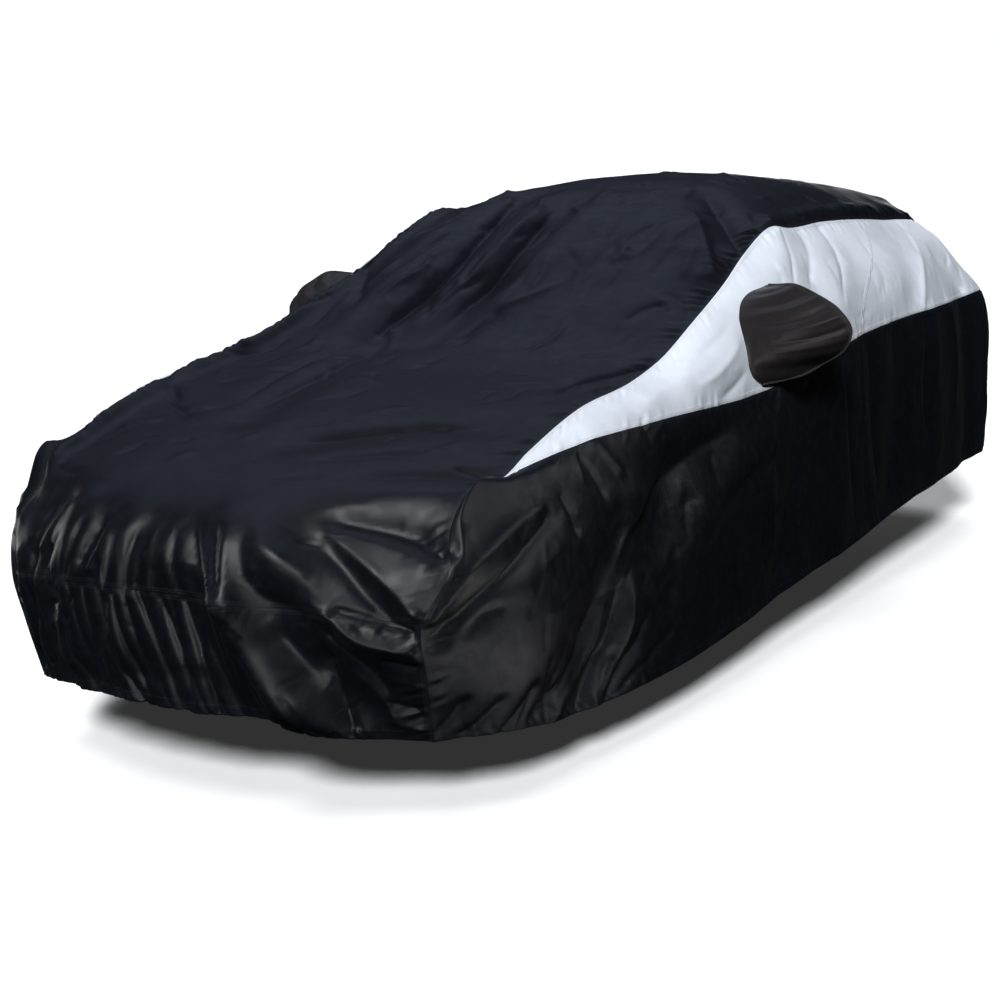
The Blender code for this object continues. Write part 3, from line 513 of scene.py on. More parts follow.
# Soft boxes that show in gloss only, one row each: name, place and aim from the
# nose and the ground, width, height, power
BOXES = [
    ("front_box", (0.45, -1.15, 2.70), (0.40, 0.08, 0.66), 0.8, 1.3, 36.0),
    ("low_front_box", (1.95, -2.40, 1.55), (0.40, 0.00, 0.42), 1.7, 0.9, 22.0),
    ("corner_box", (2.60, 1.20, 1.10), (0.84, 0.38, 0.66), 0.6, 0.4, 4.0),
    ("ground_board", (1.85, 0.55, 0.02), (1.85, 0.55, 1.0), 1.1, 1.4, 6.5),
    ("pouch_box", (2.97, 2.60, 2.37), (0.95, 1.95, 1.05), 0.8, 0.8, 8.0),
    ("back_box", (-0.80, 7.60, 1.30), (0.0, 4.70, 0.70), 1.8, 1.0, 30.0),
    ("right_box", (-4.20, 0.50, 1.00), (-0.90, 2.40, 0.60), 2.0, 0.9, 18.0),
]

# ---- curves and sheets --------------------------------------------------
def spline(points, cells):
    """Smooth curve through the points, with the given cells between each pair."""
    points = np.asarray(points, float)
    steps = np.linalg.norm(np.diff(points, axis=0), axis=1)[:, None]
    slopes = np.diff(points, axis=0) / steps
    tangents = np.empty_like(points)
    tangents[0], tangents[-1] = slopes[0], slopes[-1]
    weights = steps[1:] / (steps[1:] + steps[:-1])
    tangents[1:-1] = slopes[:-1] * weights + slopes[1:] * (1 - weights)
    curve = []
    for i, count in enumerate(cells):
        t = (np.arange(count) / count)[:, None]
        a = 2 * t ** 3 - 3 * t ** 2 + 1
        b = (t ** 3 - 2 * t ** 2 + t) * steps[i]
        c = (t ** 3 - t ** 2) * steps[i]
        curve.append(points[i] * a + points[i + 1] * (1 - a)
                     + tangents[i] * b + tangents[i + 1] * c)
    curve.append(points[-1:])
    return np.concatenate(curve)


def smoothstep(value):
    """Ease from 0 to 1."""
    value = np.clip(value, 0, 1)
    return value * value * (3 - 2 * value)


def unit(vectors):
    """Vectors brought to length one."""
    return vectors / np.maximum(np.linalg.norm(vectors, axis=-1, keepdims=True), TINY)


def row_cells(first, last):
    """Fine cells from each long-strip row to the next; the ends match the sides' columns."""
    return [LONG_ROWS[row][6] * (ALONG_FINE if TIP_ROW <= row < TAIL_ROW else ACROSS_FINE)
            for row in range(first, last)]


def row_index(row):
    """Fine grid row at which a row of LONG_ROWS lies."""
    return sum(row_cells(0, row))


def long_strip(finer=1):
    """Grid of the long strip: rows nose to tail, columns right edge to left edge."""
    table = np.array(LONG_ROWS)
    cells = [count * finer for count in row_cells(0, len(LONG_ROWS) - 1)]
    centre = spline(np.insert(table[:, :2], 0, 0.0, axis=1), cells)
    edge = spline(table[:, 2:5], cells)
    crown = spline(np.column_stack([table[:, 5], np.arange(len(table))]), cells)[:, :1]
    across = np.linspace(-1, 1, 2 * HALF_CELLS * ACROSS_FINE * finer + 1)
    share = np.abs(across)[None, :] ** crown
    grid = np.empty((len(edge), len(across), 3))
    grid[..., 0] = edge[:, :1] * across
    for axis in (1, 2):
        grid[..., axis] = centre[:, axis, None] * (1 - share) + edge[:, axis, None] * share
    return grid


def side_sheet(strip):
    """Grid of the left side: rows nose to tail, columns edge seam to hem."""
    first, last = row_index(TIP_ROW), row_index(TAIL_ROW)
    cells = row_cells(TIP_ROW, TAIL_ROW)
    table = np.array(SIDE_ROWS)
    belt, mid, hem = (spline(table[:, k:k + 3], cells) for k in (0, 3, 6))
    nose_cells = first // ACROSS_FINE
    upper = nose_cells // 2
    lead, edge = strip[first:last + 1, -1 - 2 * ACROSS_FINE], strip[first:last + 1, -1]
    belt[0] = edge[0] + (mid[0] - edge[0]) * TIP_SHARE
    columns = [1, GUSSET_CELLS * ACROSS_FINE, upper * ACROSS_FINE,
               (nose_cells - upper) * ACROSS_FINE]
    grid = np.array([spline([lead[k], edge[k], belt[k], mid[k], hem[k]], columns)[1:]
                     for k in range(len(edge))])
    tip = np.repeat(strip[first:first + 1, -1], GUSSET_CELLS * ACROSS_FINE, axis=0)
    front = np.concatenate([tip, strip[first::-1, -1]])
    back = strip[last:, -1]
    ease = np.arange(len(grid)) / (FALLOFF_ROWS * ALONG_FINE)
    blend = np.clip(1 - ease, 0, 1)[:, None, None] ** 2
    return grid + (front - grid[0]) * blend + (back - grid[-1]) * blend[::-1]


def nose_pull(grid):
    """Draw the right nose corner inward, more below the bonnet's edge."""
    share = np.clip(-grid[..., 0] / LONG_ROWS[TIP_ROW][2], 0, 1)
    low = smoothstep((WAIST_TOP - grid[..., 2]) / WAIST_EASE)
    grid = grid.copy()
    grid[..., 0] += ((NOSE_PULL + WAIST_PULL * low) * share
                     * smoothstep(1 - grid[..., 1] / NOSE_PULL_END))
    return grid


def normals(grid, outward):
    """Unit normals of a grid, turned to the outward side."""
    return unit(np.cross(np.gradient(grid, axis=0), np.gradient(grid, axis=1)) * outward)


def path_distance(points, path):
    """Distance from points to a path of straight legs."""
    away = np.full(points.shape[:-1], np.inf)
    for start, end in zip(path[:-1], path[1:]):
        span = end - start
        along = np.clip((points - start) @ span / (span @ span), 0, 1)
        gap = points - start - along[..., None] * span
        away = np.minimum(away, np.linalg.norm(gap, axis=-1))
    return away


def face_weights(facing):
    """How much of each face's folds every point takes."""
    weights = {"top": facing[..., 2], "front": -facing[..., 1], "rear": facing[..., 1],
               "side": np.abs(facing[..., 0])}
    return {face: smoothstep(weight * FACE_GAIN - FACE_START)
            for face, weight in weights.items()}


def face_planes(grid):
    """Flat coordinates in which each face's folds are laid out."""
    forward = np.where(grid[..., 0] < 0, RIGHT_FOLD_SHIFT, 0)
    return {"top": grid[..., (0, 1)], "front": grid[..., (0, 2)], "rear": grid[..., (0, 2)],
            "side": np.stack([grid[..., 1] + forward, grid[..., 2]], axis=-1)}


def folded(grid, outward, seams):
    """Grid displaced by its main folds, which die out at the edge seams."""
    facing = normals(grid, outward)
    weights, planes = face_weights(facing), face_planes(grid)
    heights = np.zeros(grid.shape[:2])
    for face, rows in FOLDS.items():
        for u0, v0, u1, v1, half_width, height in rows:
            away = path_distance(planes[face], np.array([(u0, v0), (u1, v1)]))
            heights += height * np.exp(-(away / half_width) ** 2) * weights[face]
    away = np.min([path_distance(grid, seam) for seam in seams], axis=0)
    return grid + facing * (heights * smoothstep(away / SEAM_FADE))[..., None]


# ---- fine relief --------------------------------------------------------
def line(field, axis, index):
    """One line of a grid, with its axis kept."""
    return np.take(field, [index], axis=axis)


def arc_along(grid, axis):
    """Length of cloth from the grid's first line to every point, along an axis."""
    steps = np.linalg.norm(np.diff(grid, axis=axis), axis=2)
    return np.cumsum(np.concatenate([0 * line(steps, axis, 0), steps], axis=axis), axis=axis)


def arc_from(arc, axis, index):
    """Length of cloth between every point and one grid line."""
    return np.abs(arc - line(arc, axis, index))


def path_field(flat, path):
    """Distance to a path, the side of it, and the share of it passed, at each point."""
    steps = np.linalg.norm(np.diff(path, axis=0), axis=1)
    marks = np.concatenate([[0], np.cumsum(steps)]) / steps.sum()
    away = np.full(len(flat), np.inf)
    side, share = np.zeros(len(flat)), np.zeros(len(flat))
    for k, (start, end) in enumerate(zip(path[:-1], path[1:])):
        span = end - start
        along = np.clip((flat - start) @ span / (span @ span), 0, 1)
        gap = flat - start - along[:, None] * span
        distance = np.linalg.norm(gap, axis=1)
        near = distance < away
        away = np.where(near, distance, away)
        share = np.where(near, marks[k] + along * (marks[k + 1] - marks[k]), share)
        side = np.where(near, np.sign(gap[:, 0] * span[1] - gap[:, 1] * span[0]), side)
    return away, side, share


def add_crease(heights, flat, weight, crease):
    """Add one crease to the heights; flat and weight belong to its face."""
    path, start_width, end_width, height, lean, start_keep, end_keep = crease
    path = np.asarray(path, float)
    curve = spline(path, [PATH_CELLS] * (len(path) - 1)) if len(path) > 2 else path
    margin = REACH * max(start_width, end_width)
    inside = np.all((flat > curve.min(axis=0) - margin) & (flat < curve.max(axis=0) + margin),
                    axis=-1) & (weight > 0)
    if not inside.any():
        return
    away, side, share = path_field(flat[inside], curve)
    width = (start_width + (end_width - start_width) * share) * (1 - lean * side)
    crest = np.exp(CREST - np.hypot(away / width, CREST))
    start = start_keep + (1 - start_keep) * smoothstep(share / TAPER)
    end = end_keep + (1 - end_keep) * smoothstep((1 - share) / TAPER)
    reach = smoothstep((REACH - away / width) / 2)
    heights[inside] += height * crest * start * end * reach * weight[inside]


def placed_creases():
    """Every row of CREASES, with the ends that most of them leave out."""
    for face, rows in CREASES.items():
        for row in rows:
            yield face, row + USUAL_ENDS if len(row) == 4 else row


def pleat_creases():
    """Creases of every row of PLEATS."""
    for face, count, start_a, start_b, end_a, end_b, width, height, seed in PLEATS:
        draw = np.random.default_rng(seed)
        starts, ends = np.linspace(start_a, start_b, count), np.linspace(end_a, end_b, count)
        spacing = np.linalg.norm(starts[1] - starts[0])
        for start, end in zip(starts, ends):
            start = start + [draw.uniform(-PLEAT_STRAY, PLEAT_STRAY) * spacing, 0]
            reach = draw.uniform(*PLEAT_REACH)
            slant = draw.uniform(-PLEAT_SLANT, PLEAT_SLANT) * spacing
            end = start + (end - start) * reach + [slant, 0]
            tall = -height * draw.uniform(*PLEAT_HEIGHT)
            wide = width * draw.uniform(*PLEAT_WIDTH)
            yield face, ([start, end], wide, wide * PLEAT_FAN, tall, 0, 1, 0)


def crumple_creases():
    """Short creases of every row of CRUMPLES."""
    for face, count, low, high, turn, spread, length, width, height, seed in CRUMPLES:
        draw = np.random.default_rng(seed)
        for _ in range(count):
            middle = draw.uniform(low, high)
            angle = np.radians(turn + draw.normal() * spread)
            bend = np.radians(draw.uniform(-CRUMPLE_BEND, CRUMPLE_BEND))
            half = length * draw.uniform(*CRUMPLE_LENGTH) / 2
            before = middle - half * np.array([np.cos(angle - bend), np.sin(angle - bend)])
            after = middle + half * np.array([np.cos(angle + bend), np.sin(angle + bend)])
            wide = width * draw.uniform(*CRUMPLE_WIDTH)
            tall = height * draw.uniform(*CRUMPLE_HEIGHT) * draw.choice([-1, 1], p=DOWN_UP)
            yield face, ([before, middle, after], wide, wide, tall, 0, 0, 0)


def waves(run, length, seed):
    """Uneven waves along a seam, about one to a length."""
    draw = np.random.default_rng(seed)
    total = np.zeros_like(run)
    for stretch, strength in WAVE_PARTS:
        total += strength * np.sin(2 * np.pi * (run / (length * stretch) + draw.random()))
    slow = np.sin(2 * np.pi * (run / (length * SWELL_STRETCH) + draw.random()))
    return total * (1 - SWELL_SHARE + SWELL_SHARE * slow) / WAVE_LEVEL


def gather(kind, run, away, seed):
    """Heights of the gathers beside a seam: none on it, fullest just off it."""
    length, height, fullest, out = GATHERS[kind]
    rise = away / fullest * np.exp(1 - away / fullest)
    leant = run + GATHER_LEAN * away
    return height * waves(leant, length, seed) * rise * smoothstep((out - away) / out)


def noise_field(grid, stretch, seed=0.0):
    """Smooth noise fixed in space, at each point of a grid."""
    offset = Vector((seed, 0, 0))
    return np.array([noise.noise(Vector(point) / stretch + offset)
                     for point in grid.reshape(-1, 3)]).reshape(grid.shape[:2])


def relief(grid, outward):
    """Heights of all creases, pleats and slack on a grid."""
    weights, planes = face_weights(normals(grid, outward)), face_planes(grid)
    heights = np.zeros(grid.shape[:2])
    for face, crease in (*placed_creases(), *pleat_creases(), *crumple_creases()):
        add_crease(heights, planes[face], weights[face], crease)
    for length, height, seed in SLACK:
        heights += height * noise_field(grid, length, seed)
    return heights


def edge_roll(strip, column, rows):
    """Height of the slack that rolls over one of the long strip's edge seams."""
    places, rises = np.array(rows).T
    rise = np.interp(strip.grid[:, column, 1], places, rises)[:, None]
    off = (arc_from(strip.across, 1, column) - ROLL_OFFSET) / ROLL_WIDTH
    swell = 1 + ROLL_SWELL * waves(strip.along, ROLL_WAVE, seed=17)
    return rise * np.exp(-off ** 2) * swell


def mouth_calm(grid):
    """Share of the relief kept, small where a pouch draws the gusset taut."""
    seam = spline(np.array(POUCH_ROWS)[:, 0:2], POUCH_CELLS)
    away = path_distance(grid[..., 1:3], seam)
    return 1 - (1 - MOUTH_KEEP) * np.exp(-(away / MOUTH_REACH) ** 2)


class Sheet:
    """A fine grid with the distances that its relief and its materials use."""

    FIELDS = ("grid", "along", "across", "seam", "run", "hem")

    def __init__(self, grid, outward):
        self.outward = outward
        self.grid = grid
        self.along = arc_along(grid, 0)
        self.across = arc_along(grid, 1)
        self.seam = np.full(grid.shape[:2], FAR)
        self.hem = np.full(grid.shape[:2], FAR)
        self.run = np.zeros(grid.shape[:2])
        self.heights = np.zeros(grid.shape[:2])

    def sew(self, kind, axis, index, seed, strength=1.0):
        """Lay gathers beside a seam that runs along one grid line."""
        away = arc_from((self.along, self.across)[axis], axis, index)
        run = line((self.across, self.along)[axis], axis, index) + 0 * away
        self.heights += strength * gather(kind, run, away, seed)
        if kind == "hem":
            self.hem = np.minimum(self.hem, away)
            return
        nearer = away < self.seam
        self.seam = np.where(nearer, away, self.seam)
        self.run = np.where(nearer, run, self.run)

    def finish(self, edges):
        """Apply the heights, which die out at the edge seams."""
        fade = np.ones(self.grid.shape[:2])
        for axis, index in edges:
            away = arc_from((self.along, self.across)[axis], axis, index)
            fade *= smoothstep(away / EDGE_FADE)
        facing = normals(self.grid, self.outward)
        self.grid = self.grid + facing * (self.heights * fade)[..., None]

    def cut(self, rows, columns=slice(None)):
        """One panel of the sheet."""
        part = copy.copy(self)
        for field in Sheet.FIELDS:
            setattr(part, field, getattr(self, field)[rows, columns])
        return part


def creased(plain, outward, seams):
    """Sheet with its main folds applied and its fine relief worked out."""
    sheet = Sheet(folded(plain, outward, seams), outward)
    sheet.heights += relief(sheet.grid, outward)
    return sheet


def roll_hem(panel, axis, at_end):
    """Carry a panel on past its hem, rolled inward into the hem's channel."""
    edge, inner = (-1, -1 - HEM_LOOK) if at_end else (0, HEM_LOOK)
    near = list(range(inner, 0) if at_end else range(inner))
    facing = np.take(normals(panel.grid, panel.outward), near, axis=axis)
    out = unit(facing.mean(axis=axis, keepdims=True))
    rim = line(panel.grid, axis, edge)
    down = unit(rim - line(panel.grid, axis, inner))
    turns = np.linspace(0, np.pi, HEM_ROLL_STEPS + 1)[1:]
    lines = [rim + out * HEM_ROLL * (np.cos(turn) - 1) + down * HEM_ROLL * np.sin(turn)
             for turn in turns]
    lines += [lines[-1] - down * HEM_DEPTH / 2, lines[-1] - down * HEM_DEPTH]
    lengths = [*turns * HEM_ROLL]
    lengths += [lengths[-1] + HEM_DEPTH / 2, lengths[-1] + HEM_DEPTH]
    step = 1 if at_end else -1
    for field in Sheet.FIELDS:
        old = getattr(panel, field)
        last = line(old, axis, edge)
        added = [last] * len(lengths)
        if field == "grid":
            added = lines
        elif field == "hem":
            added = [0 * last - length for length in lengths]
        elif field == ("along", "across")[axis]:
            added = [last + step * length for length in lengths]
        whole = [old, *added] if at_end else [*added[::-1], old]
        setattr(panel, field, np.concatenate(whole, axis=axis))
    return panel


# ---- meshes -------------------------------------------------------------
def grid_faces(grid):
    """Corner numbers of a grid's faces, one row each."""
    rows, columns = grid.shape[:2]
    index = np.arange(rows * columns).reshape(rows, columns)
    return np.stack([index[:-1, :-1], index[:-1, 1:], index[1:, 1:], index[1:, :-1]],
                    axis=-1).reshape(-1, 4)


def panel_mesh(name, panel, keep=None):
    """Mesh over a panel, with lengths of cloth as its UV map."""
    faces = grid_faces(panel.grid)
    if panel.outward > 0:
        faces = faces[:, ::-1]
    if keep is not None:
        faces = faces[keep(panel.grid.reshape(-1, 3)[faces].mean(axis=1))]
    data = bpy.data.meshes.new(name)
    points = (panel.grid - REFERENCE).reshape(-1, 3)
    data.from_pydata(points.tolist(), [], faces.tolist())
    for field in ("seam", "run", "hem"):
        layer = data.attributes.new(field, "FLOAT", "POINT")
        layer.data.foreach_set("value", getattr(panel, field).astype(np.float32).ravel())
    flat = np.stack([panel.across, panel.along], axis=-1).reshape(-1, 2)
    corners = np.zeros(len(data.loops), np.int32)
    data.loops.foreach_get("vertex_index", corners)
    uv = data.uv_layers.new(name="cloth")
    uv.data.foreach_set("uv", flat[corners].astype(np.float32).ravel())
    clean(data)
    return data


def clean(data):
    """Merge coincident points, drop loose ones and shade smooth."""
    mesh = bmesh.new()
    mesh.from_mesh(data)
    bmesh.ops.remove_doubles(mesh, verts=mesh.verts, dist=MERGE)
    loose = [vertex for vertex in mesh.verts if not vertex.link_faces]
    bmesh.ops.delete(mesh, geom=loose, context="VERTS")
    for face in mesh.faces:
        face.smooth = True
    mesh.to_mesh(data)
    mesh.free()


def add_piece(name, data, node, slot):
    """Put a piece in the scene in place of its CAD node."""
    data.materials.append(looks[slot])
    piece = bpy.data.objects.new(name, data)
    bpy.context.scene.collection.objects.link(piece)
    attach(piece, "root")
    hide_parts(node)
    return piece


def flat_area(grid):
    """Area of cloth under a grid."""
    first = np.cross(grid[1:, :-1] - grid[:-1, :-1], grid[:-1, 1:] - grid[:-1, :-1])
    second = np.cross(grid[1:, :-1] - grid[1:, 1:], grid[:-1, 1:] - grid[1:, 1:])
    return float(sum(np.linalg.norm(half, axis=2).sum() for half in (first, second)) / 2)


def lay(name, node, slot, panel, smooth, with_pieces=(), keep=None,
        fullness=1.0):
    """Fullness is how much more cloth its pleats take up.
    """
    piece = add_piece(name, panel_mesh(name, panel, keep), node, slot)
    width = float(arc_along(smooth, 1)[:, -1].max()) * fullness
    length = float(arc_along(smooth, 0)[-1].max())
    area = min(flat_area(smooth) * fullness, width * length)
    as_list(with_pieces)
    return piece


# ---- materials ----------------------------------------------------------
class Nodes:
    """The nodes of a material or a world, with short calls."""

    def __init__(self, owner):
        owner.use_nodes = True
        self.owner = owner
        self.tree = owner.node_tree

    def wire(self, node, sockets):
        """Link each input of a node to an output, or set its constant."""
        for key, value in sockets.items():
            if isinstance(value, bpy.types.NodeSocket):
                self.tree.links.new(value, node.inputs[key])
            else:
                node.inputs[key].default_value = value

    def add(self, kind, sockets=None, **settings):
        """Add a node, set its properties, and set or link its inputs."""
        made = self.tree.nodes.new("ShaderNode" + kind)
        for key, value in settings.items():
            setattr(made, key, value)
        self.wire(made, sockets or {})
        return made

    def surface(self, sockets):
        """Set or link the inputs of the material's shader."""
        self.wire(self.tree.nodes["Principled BSDF"], sockets)

    def math(self, operation, first, second=0.0, clamp=False):
        """Result of a math node."""
        return self.add("Math", {0: first, 1: second}, operation=operation,
                        use_clamp=clamp).outputs[0]

    def times(self, first, second):
        """Product of two values."""
        return self.math("MULTIPLY", first, second)

    def blend(self, factor, first, second):
        """Mix of two colours."""
        return self.add("Mix", {"Factor": factor, 6: first, 7: second},
                        data_type="RGBA").outputs[2]

    def ramp(self, value, low, high, low_out=0.0, high_out=1.0):
        """Smooth step of a value between two levels."""
        return self.add("MapRange", {"Value": value, "From Min": low, "From Max": high,
                                     "To Min": low_out, "To Max": high_out},
                        interpolation_type="SMOOTHSTEP").outputs[0]

    def field(self, name):
        """Per-vertex number kept in the mesh."""
        return self.add("Attribute", attribute_name=name).outputs["Fac"]

    def grain(self, vector, scale, detail=2.0, roughness=0.5, kind="FBM"):
        """Noise of a given scale."""
        return self.add("TexNoise", {"Vector": vector, "Scale": scale, "Detail": detail,
                                     "Roughness": roughness}, noise_type=kind).outputs[0]

    def bumps(self, rows):
        """Bumps on top of each other, one row each: height, strength, distance."""
        below = {}
        for height, strength, distance in rows:
            made = self.add("Bump", {"Height": height, "Strength": strength,
                                     "Distance": distance, **below})
            below = {"Normal": made.outputs[0]}
        return below["Normal"]

    def thread(self, length, place):
        """One at a line of stitches across a length of cloth, else nought."""
        off = self.math("ABSOLUTE", self.math("SUBTRACT", length, place))
        return self.ramp(off, *THREAD_EDGE, 1.0, 0.0)


def shade(colour, factor=1.0):
    """Colour scaled by a factor, with its alpha."""
    return tuple(channel * factor for channel in colour) + (1.0,)


def cloth_material(name, colour, roughness, sheen, specular, worn, stitch, streaks, relief):
    """Coated woven cloth with seams, stitching, wear and dust."""
    nodes = Nodes(bpy.data.materials.new(name))
    places = nodes.add("TexCoord").outputs
    place, flat = places["Object"], places["UV"]
    seam, run, hem = nodes.field("seam"), nodes.field("run"), nodes.field("hem")

    broad = nodes.grain(place, 2.2, 3.0, 0.55)
    mottled = nodes.grain(place, 26.0, 4.0, 0.6)
    base = nodes.blend(nodes.ramp(broad, 0.35, 0.65), shade(colour, 0.90), shade(colour, 1.10))
    base = nodes.blend(nodes.ramp(mottled, 0.45, 0.80, 0.0, 0.35), base, shade(worn))

    rub = nodes.times(nodes.ramp(seam, 0.0, RUB_WIDTH, 1.0, 0.0),
                      nodes.ramp(mottled, 0.30, 0.70, 0.15, 0.45))
    base = nodes.blend(rub, base, shade(worn, 1.15))
    patchy = nodes.grain(place, 9.0, 5.0, 0.65)
    dust = nodes.times(nodes.ramp(hem, 0.0, DUST_HEIGHT, 1.0, 0.0),
                       nodes.ramp(patchy, 0.40, 0.75, 0.0, 0.45))
    base = nodes.blend(dust, base, shade(worn, 1.35))

    thread = nodes.thread(hem, HEM_DEPTH)
    for gap in STITCH_ROWS:
        thread = nodes.math("MAXIMUM", thread, nodes.thread(seam, gap))
    dash = nodes.math("FRACT", nodes.times(run, 1 / STITCH_PITCH))
    thread = nodes.times(thread, nodes.ramp(dash, 0.62, 0.74, 1.0, 0.15))
    base = nodes.blend(thread, base, shade(stitch))

    yarns = nodes.add("SeparateXYZ", {0: flat}).outputs
    warp, weft = (nodes.math("SINE", nodes.times(yarns[axis], 2 * np.pi / WEAVE_PITCH))
                  for axis in (0, 1))
    slub = nodes.add("Mapping", {"Vector": flat, "Scale": SLUB_SCALE}).outputs[0]
    slub = nodes.grain(slub, 1.0, 2.0, 0.5)
    base = nodes.blend(nodes.times(nodes.ramp(slub, 0.35, 0.7), streaks), base,
                       shade(worn, 0.8))
    gloss = nodes.ramp(mottled, 0.25, 0.75, roughness - 0.06, roughness + 0.08)
    gloss = nodes.math("ADD", gloss, nodes.times(dust, 0.25), clamp=True)

    welt = nodes.times(nodes.ramp(seam, 0.0, 0.004), nodes.ramp(seam, 0.010, 0.017, 1.0, 0.0))
    channel = nodes.ramp(hem, HEM_DEPTH - 0.002, HEM_DEPTH + 0.003, 1.0, 0.0)
    crumple = nodes.grain(place, 15.0, 3.0, 0.55, "RIDGED_MULTIFRACTAL")
    normal = nodes.bumps([
        (crumple, 0.30, 0.0035),
        (nodes.grain(place, 60.0, 3.0, 0.5), 0.25, 0.0010),
        (welt, relief, 0.0012),
        (channel, relief, 0.0010),
        (thread, relief, 0.0006),
        (nodes.times(warp, weft), 0.18, 0.00025),
    ])
    nodes.surface({"Base Color": base, "Roughness": gloss, "Metallic": 0.0, "Normal": normal,
                   "Specular IOR Level": specular, "Sheen Weight": sheen,
                   "Sheen Roughness": 0.45})
    return nodes.owner


def cord_material(name, colour):
    """Woven tape over a cord."""
    nodes = Nodes(bpy.data.materials.new(name))
    place = nodes.add("TexCoord").outputs["Object"]
    mottled = nodes.grain(place, 120.0, 3.0, 0.6)
    base = nodes.blend(nodes.ramp(mottled, 0.35, 0.7), shade(colour, 0.8), shade(colour, 1.6))
    ribs = nodes.add("TexWave", {"Vector": place, "Scale": 260.0}).outputs[1]
    nodes.surface({"Base Color": base, "Roughness": nodes.ramp(mottled, 0.3, 0.7, 0.45, 0.65),
                   "Sheen Weight": 0.1, "Normal": nodes.bumps([(ribs, 0.4, 0.0005)])})
    return nodes.owner


# ---- pouches ------------------------------------------------------------
def pouch_curves(side, grid):
    """Face seam, rim and back seam of a pouch, one point per rib."""
    table = np.array(POUCH_ROWS)
    cells = [count * POUCH_FINE for count in POUCH_CELLS]
    tree = BVHTree.FromPolygons(grid.reshape(-1, 3).tolist(), grid_faces(grid).tolist())

    def on_gusset(places):
        """Points of the gusset at distances along and heights."""
        inward = Vector((-side, 0, 0))
        return np.array([tree.ray_cast(Vector((side * RAY_START, y, z)), inward)[0]
                         for y, z in spline(places, cells)])

    face, back = on_gusset(table[:, 0:2]), on_gusset(table[:, 5:7])
    rim = table[:, 2:5] * np.array([side, 1, 1])
    for end, run in zip((0, -1), POUCH_END_RUNS):
        rim[end] = face[end] + np.array(run) * np.array([side, 1, 1])
    return face, spline(rim, cells), back


def pouch_grid(side, seam, rim, cells, bulge, lean):
    """Grid of one pouch sheet, from inside its mouth out to the rim."""
    out = np.array([side, 0, 0])
    steps = np.linspace(0, 1, (cells - 1) * POUCH_FINE + 1)[None, :, None]
    lip = seam + out * POUCH_LIP
    ribs = np.sin(np.pi * np.linspace(0, 1, len(seam)))[:, None, None]
    lift = 4 * steps * (1 - steps) * ribs * bulge
    body = lip[:, None] * (1 - steps) + rim[:, None] * steps
    body = body + lift * np.array([side * lean[0], lean[1], lean[2]])
    return np.concatenate([(seam - out * POUCH_TUCK)[:, None], body], axis=1)


def pouch_panel(grid, outward, pleats):
    """Pouch sheet with its pleats and slack, none at its edges, and its rim as a seam."""
    rows, columns = grid.shape[:2]
    down = np.linspace(0, 1, rows)[:, None]
    over = np.linspace(0, 1, columns)[None, :]
    heights = POUCH_SLACK * noise_field(grid, POUCH_SLACK_LENGTH)
    for at_seam, at_rim, width, height in pleats:
        centre = at_seam + (at_rim - at_seam) * over + PLEAT_BOW * np.sin(np.pi * over)
        crest = np.exp(CREST - np.hypot((down - centre) / width, CREST))
        heights += height * crest * smoothstep(over * MOUTH_RISE)
    edge = np.minimum(np.minimum(over * MOUTH_FADE, (1 - over) * RIM_FADE),
                      np.minimum(down, 1 - down) * END_FADE)
    facing = normals(grid, outward)
    panel = Sheet(grid + facing * (heights * smoothstep(edge))[..., None], outward)
    panel.seam = panel.across[:, -1:] - panel.across
    panel.run = panel.along
    return panel


def tube_mesh(name, path, radius, sides=16):
    """Closed round cord along a path."""
    mesh = bmesh.new()
    rings = []
    turns = np.arange(sides) * 2 * np.pi / sides
    for point, run in zip(path - REFERENCE, unit(np.gradient(path, axis=0))):
        across = unit(np.cross(run, ASKEW))
        rise = np.cross(run, across)
        rings.append([mesh.verts.new(point + radius * (across * np.cos(t) + rise * np.sin(t)))
                      for t in turns])
    for low, high in zip(rings[:-1], rings[1:]):
        for k in range(sides):
            n = (k + 1) % sides
            mesh.faces.new([low[k], low[n], high[n], high[k]])
    mesh.faces.new(rings[0][::-1])
    mesh.faces.new(rings[-1])
    bmesh.ops.recalc_face_normals(mesh, faces=mesh.faces)
    for face in mesh.faces:
        face.smooth = True
    data = bpy.data.meshes.new(name)
    mesh.to_mesh(data)
    mesh.free()
    return data


def outside_mouth(loop):
    """Test that keeps the faces outside a pouch's mouth."""
    centre = loop.mean(axis=0)
    spread = np.linalg.norm(loop - centre, axis=1, keepdims=True)
    ring = centre + (loop - centre) * (1 - MOUTH_INSET / spread)

    def keep(middles):
        """True for each face whose middle is outside the ring."""
        y, z = middles[:, 1], middles[:, 2]
        inside = np.zeros(len(middles), bool)
        for start, end in zip(ring, np.roll(ring, -1, axis=0)):
            crosses = (start[1] > z) != (end[1] > z)
            reach = start[0] + (z - start[1]) * (end[0] - start[0]) / (end[1] - start[1] + TINY)
            inside ^= crosses & (y < reach)
        return ~inside

    return keep


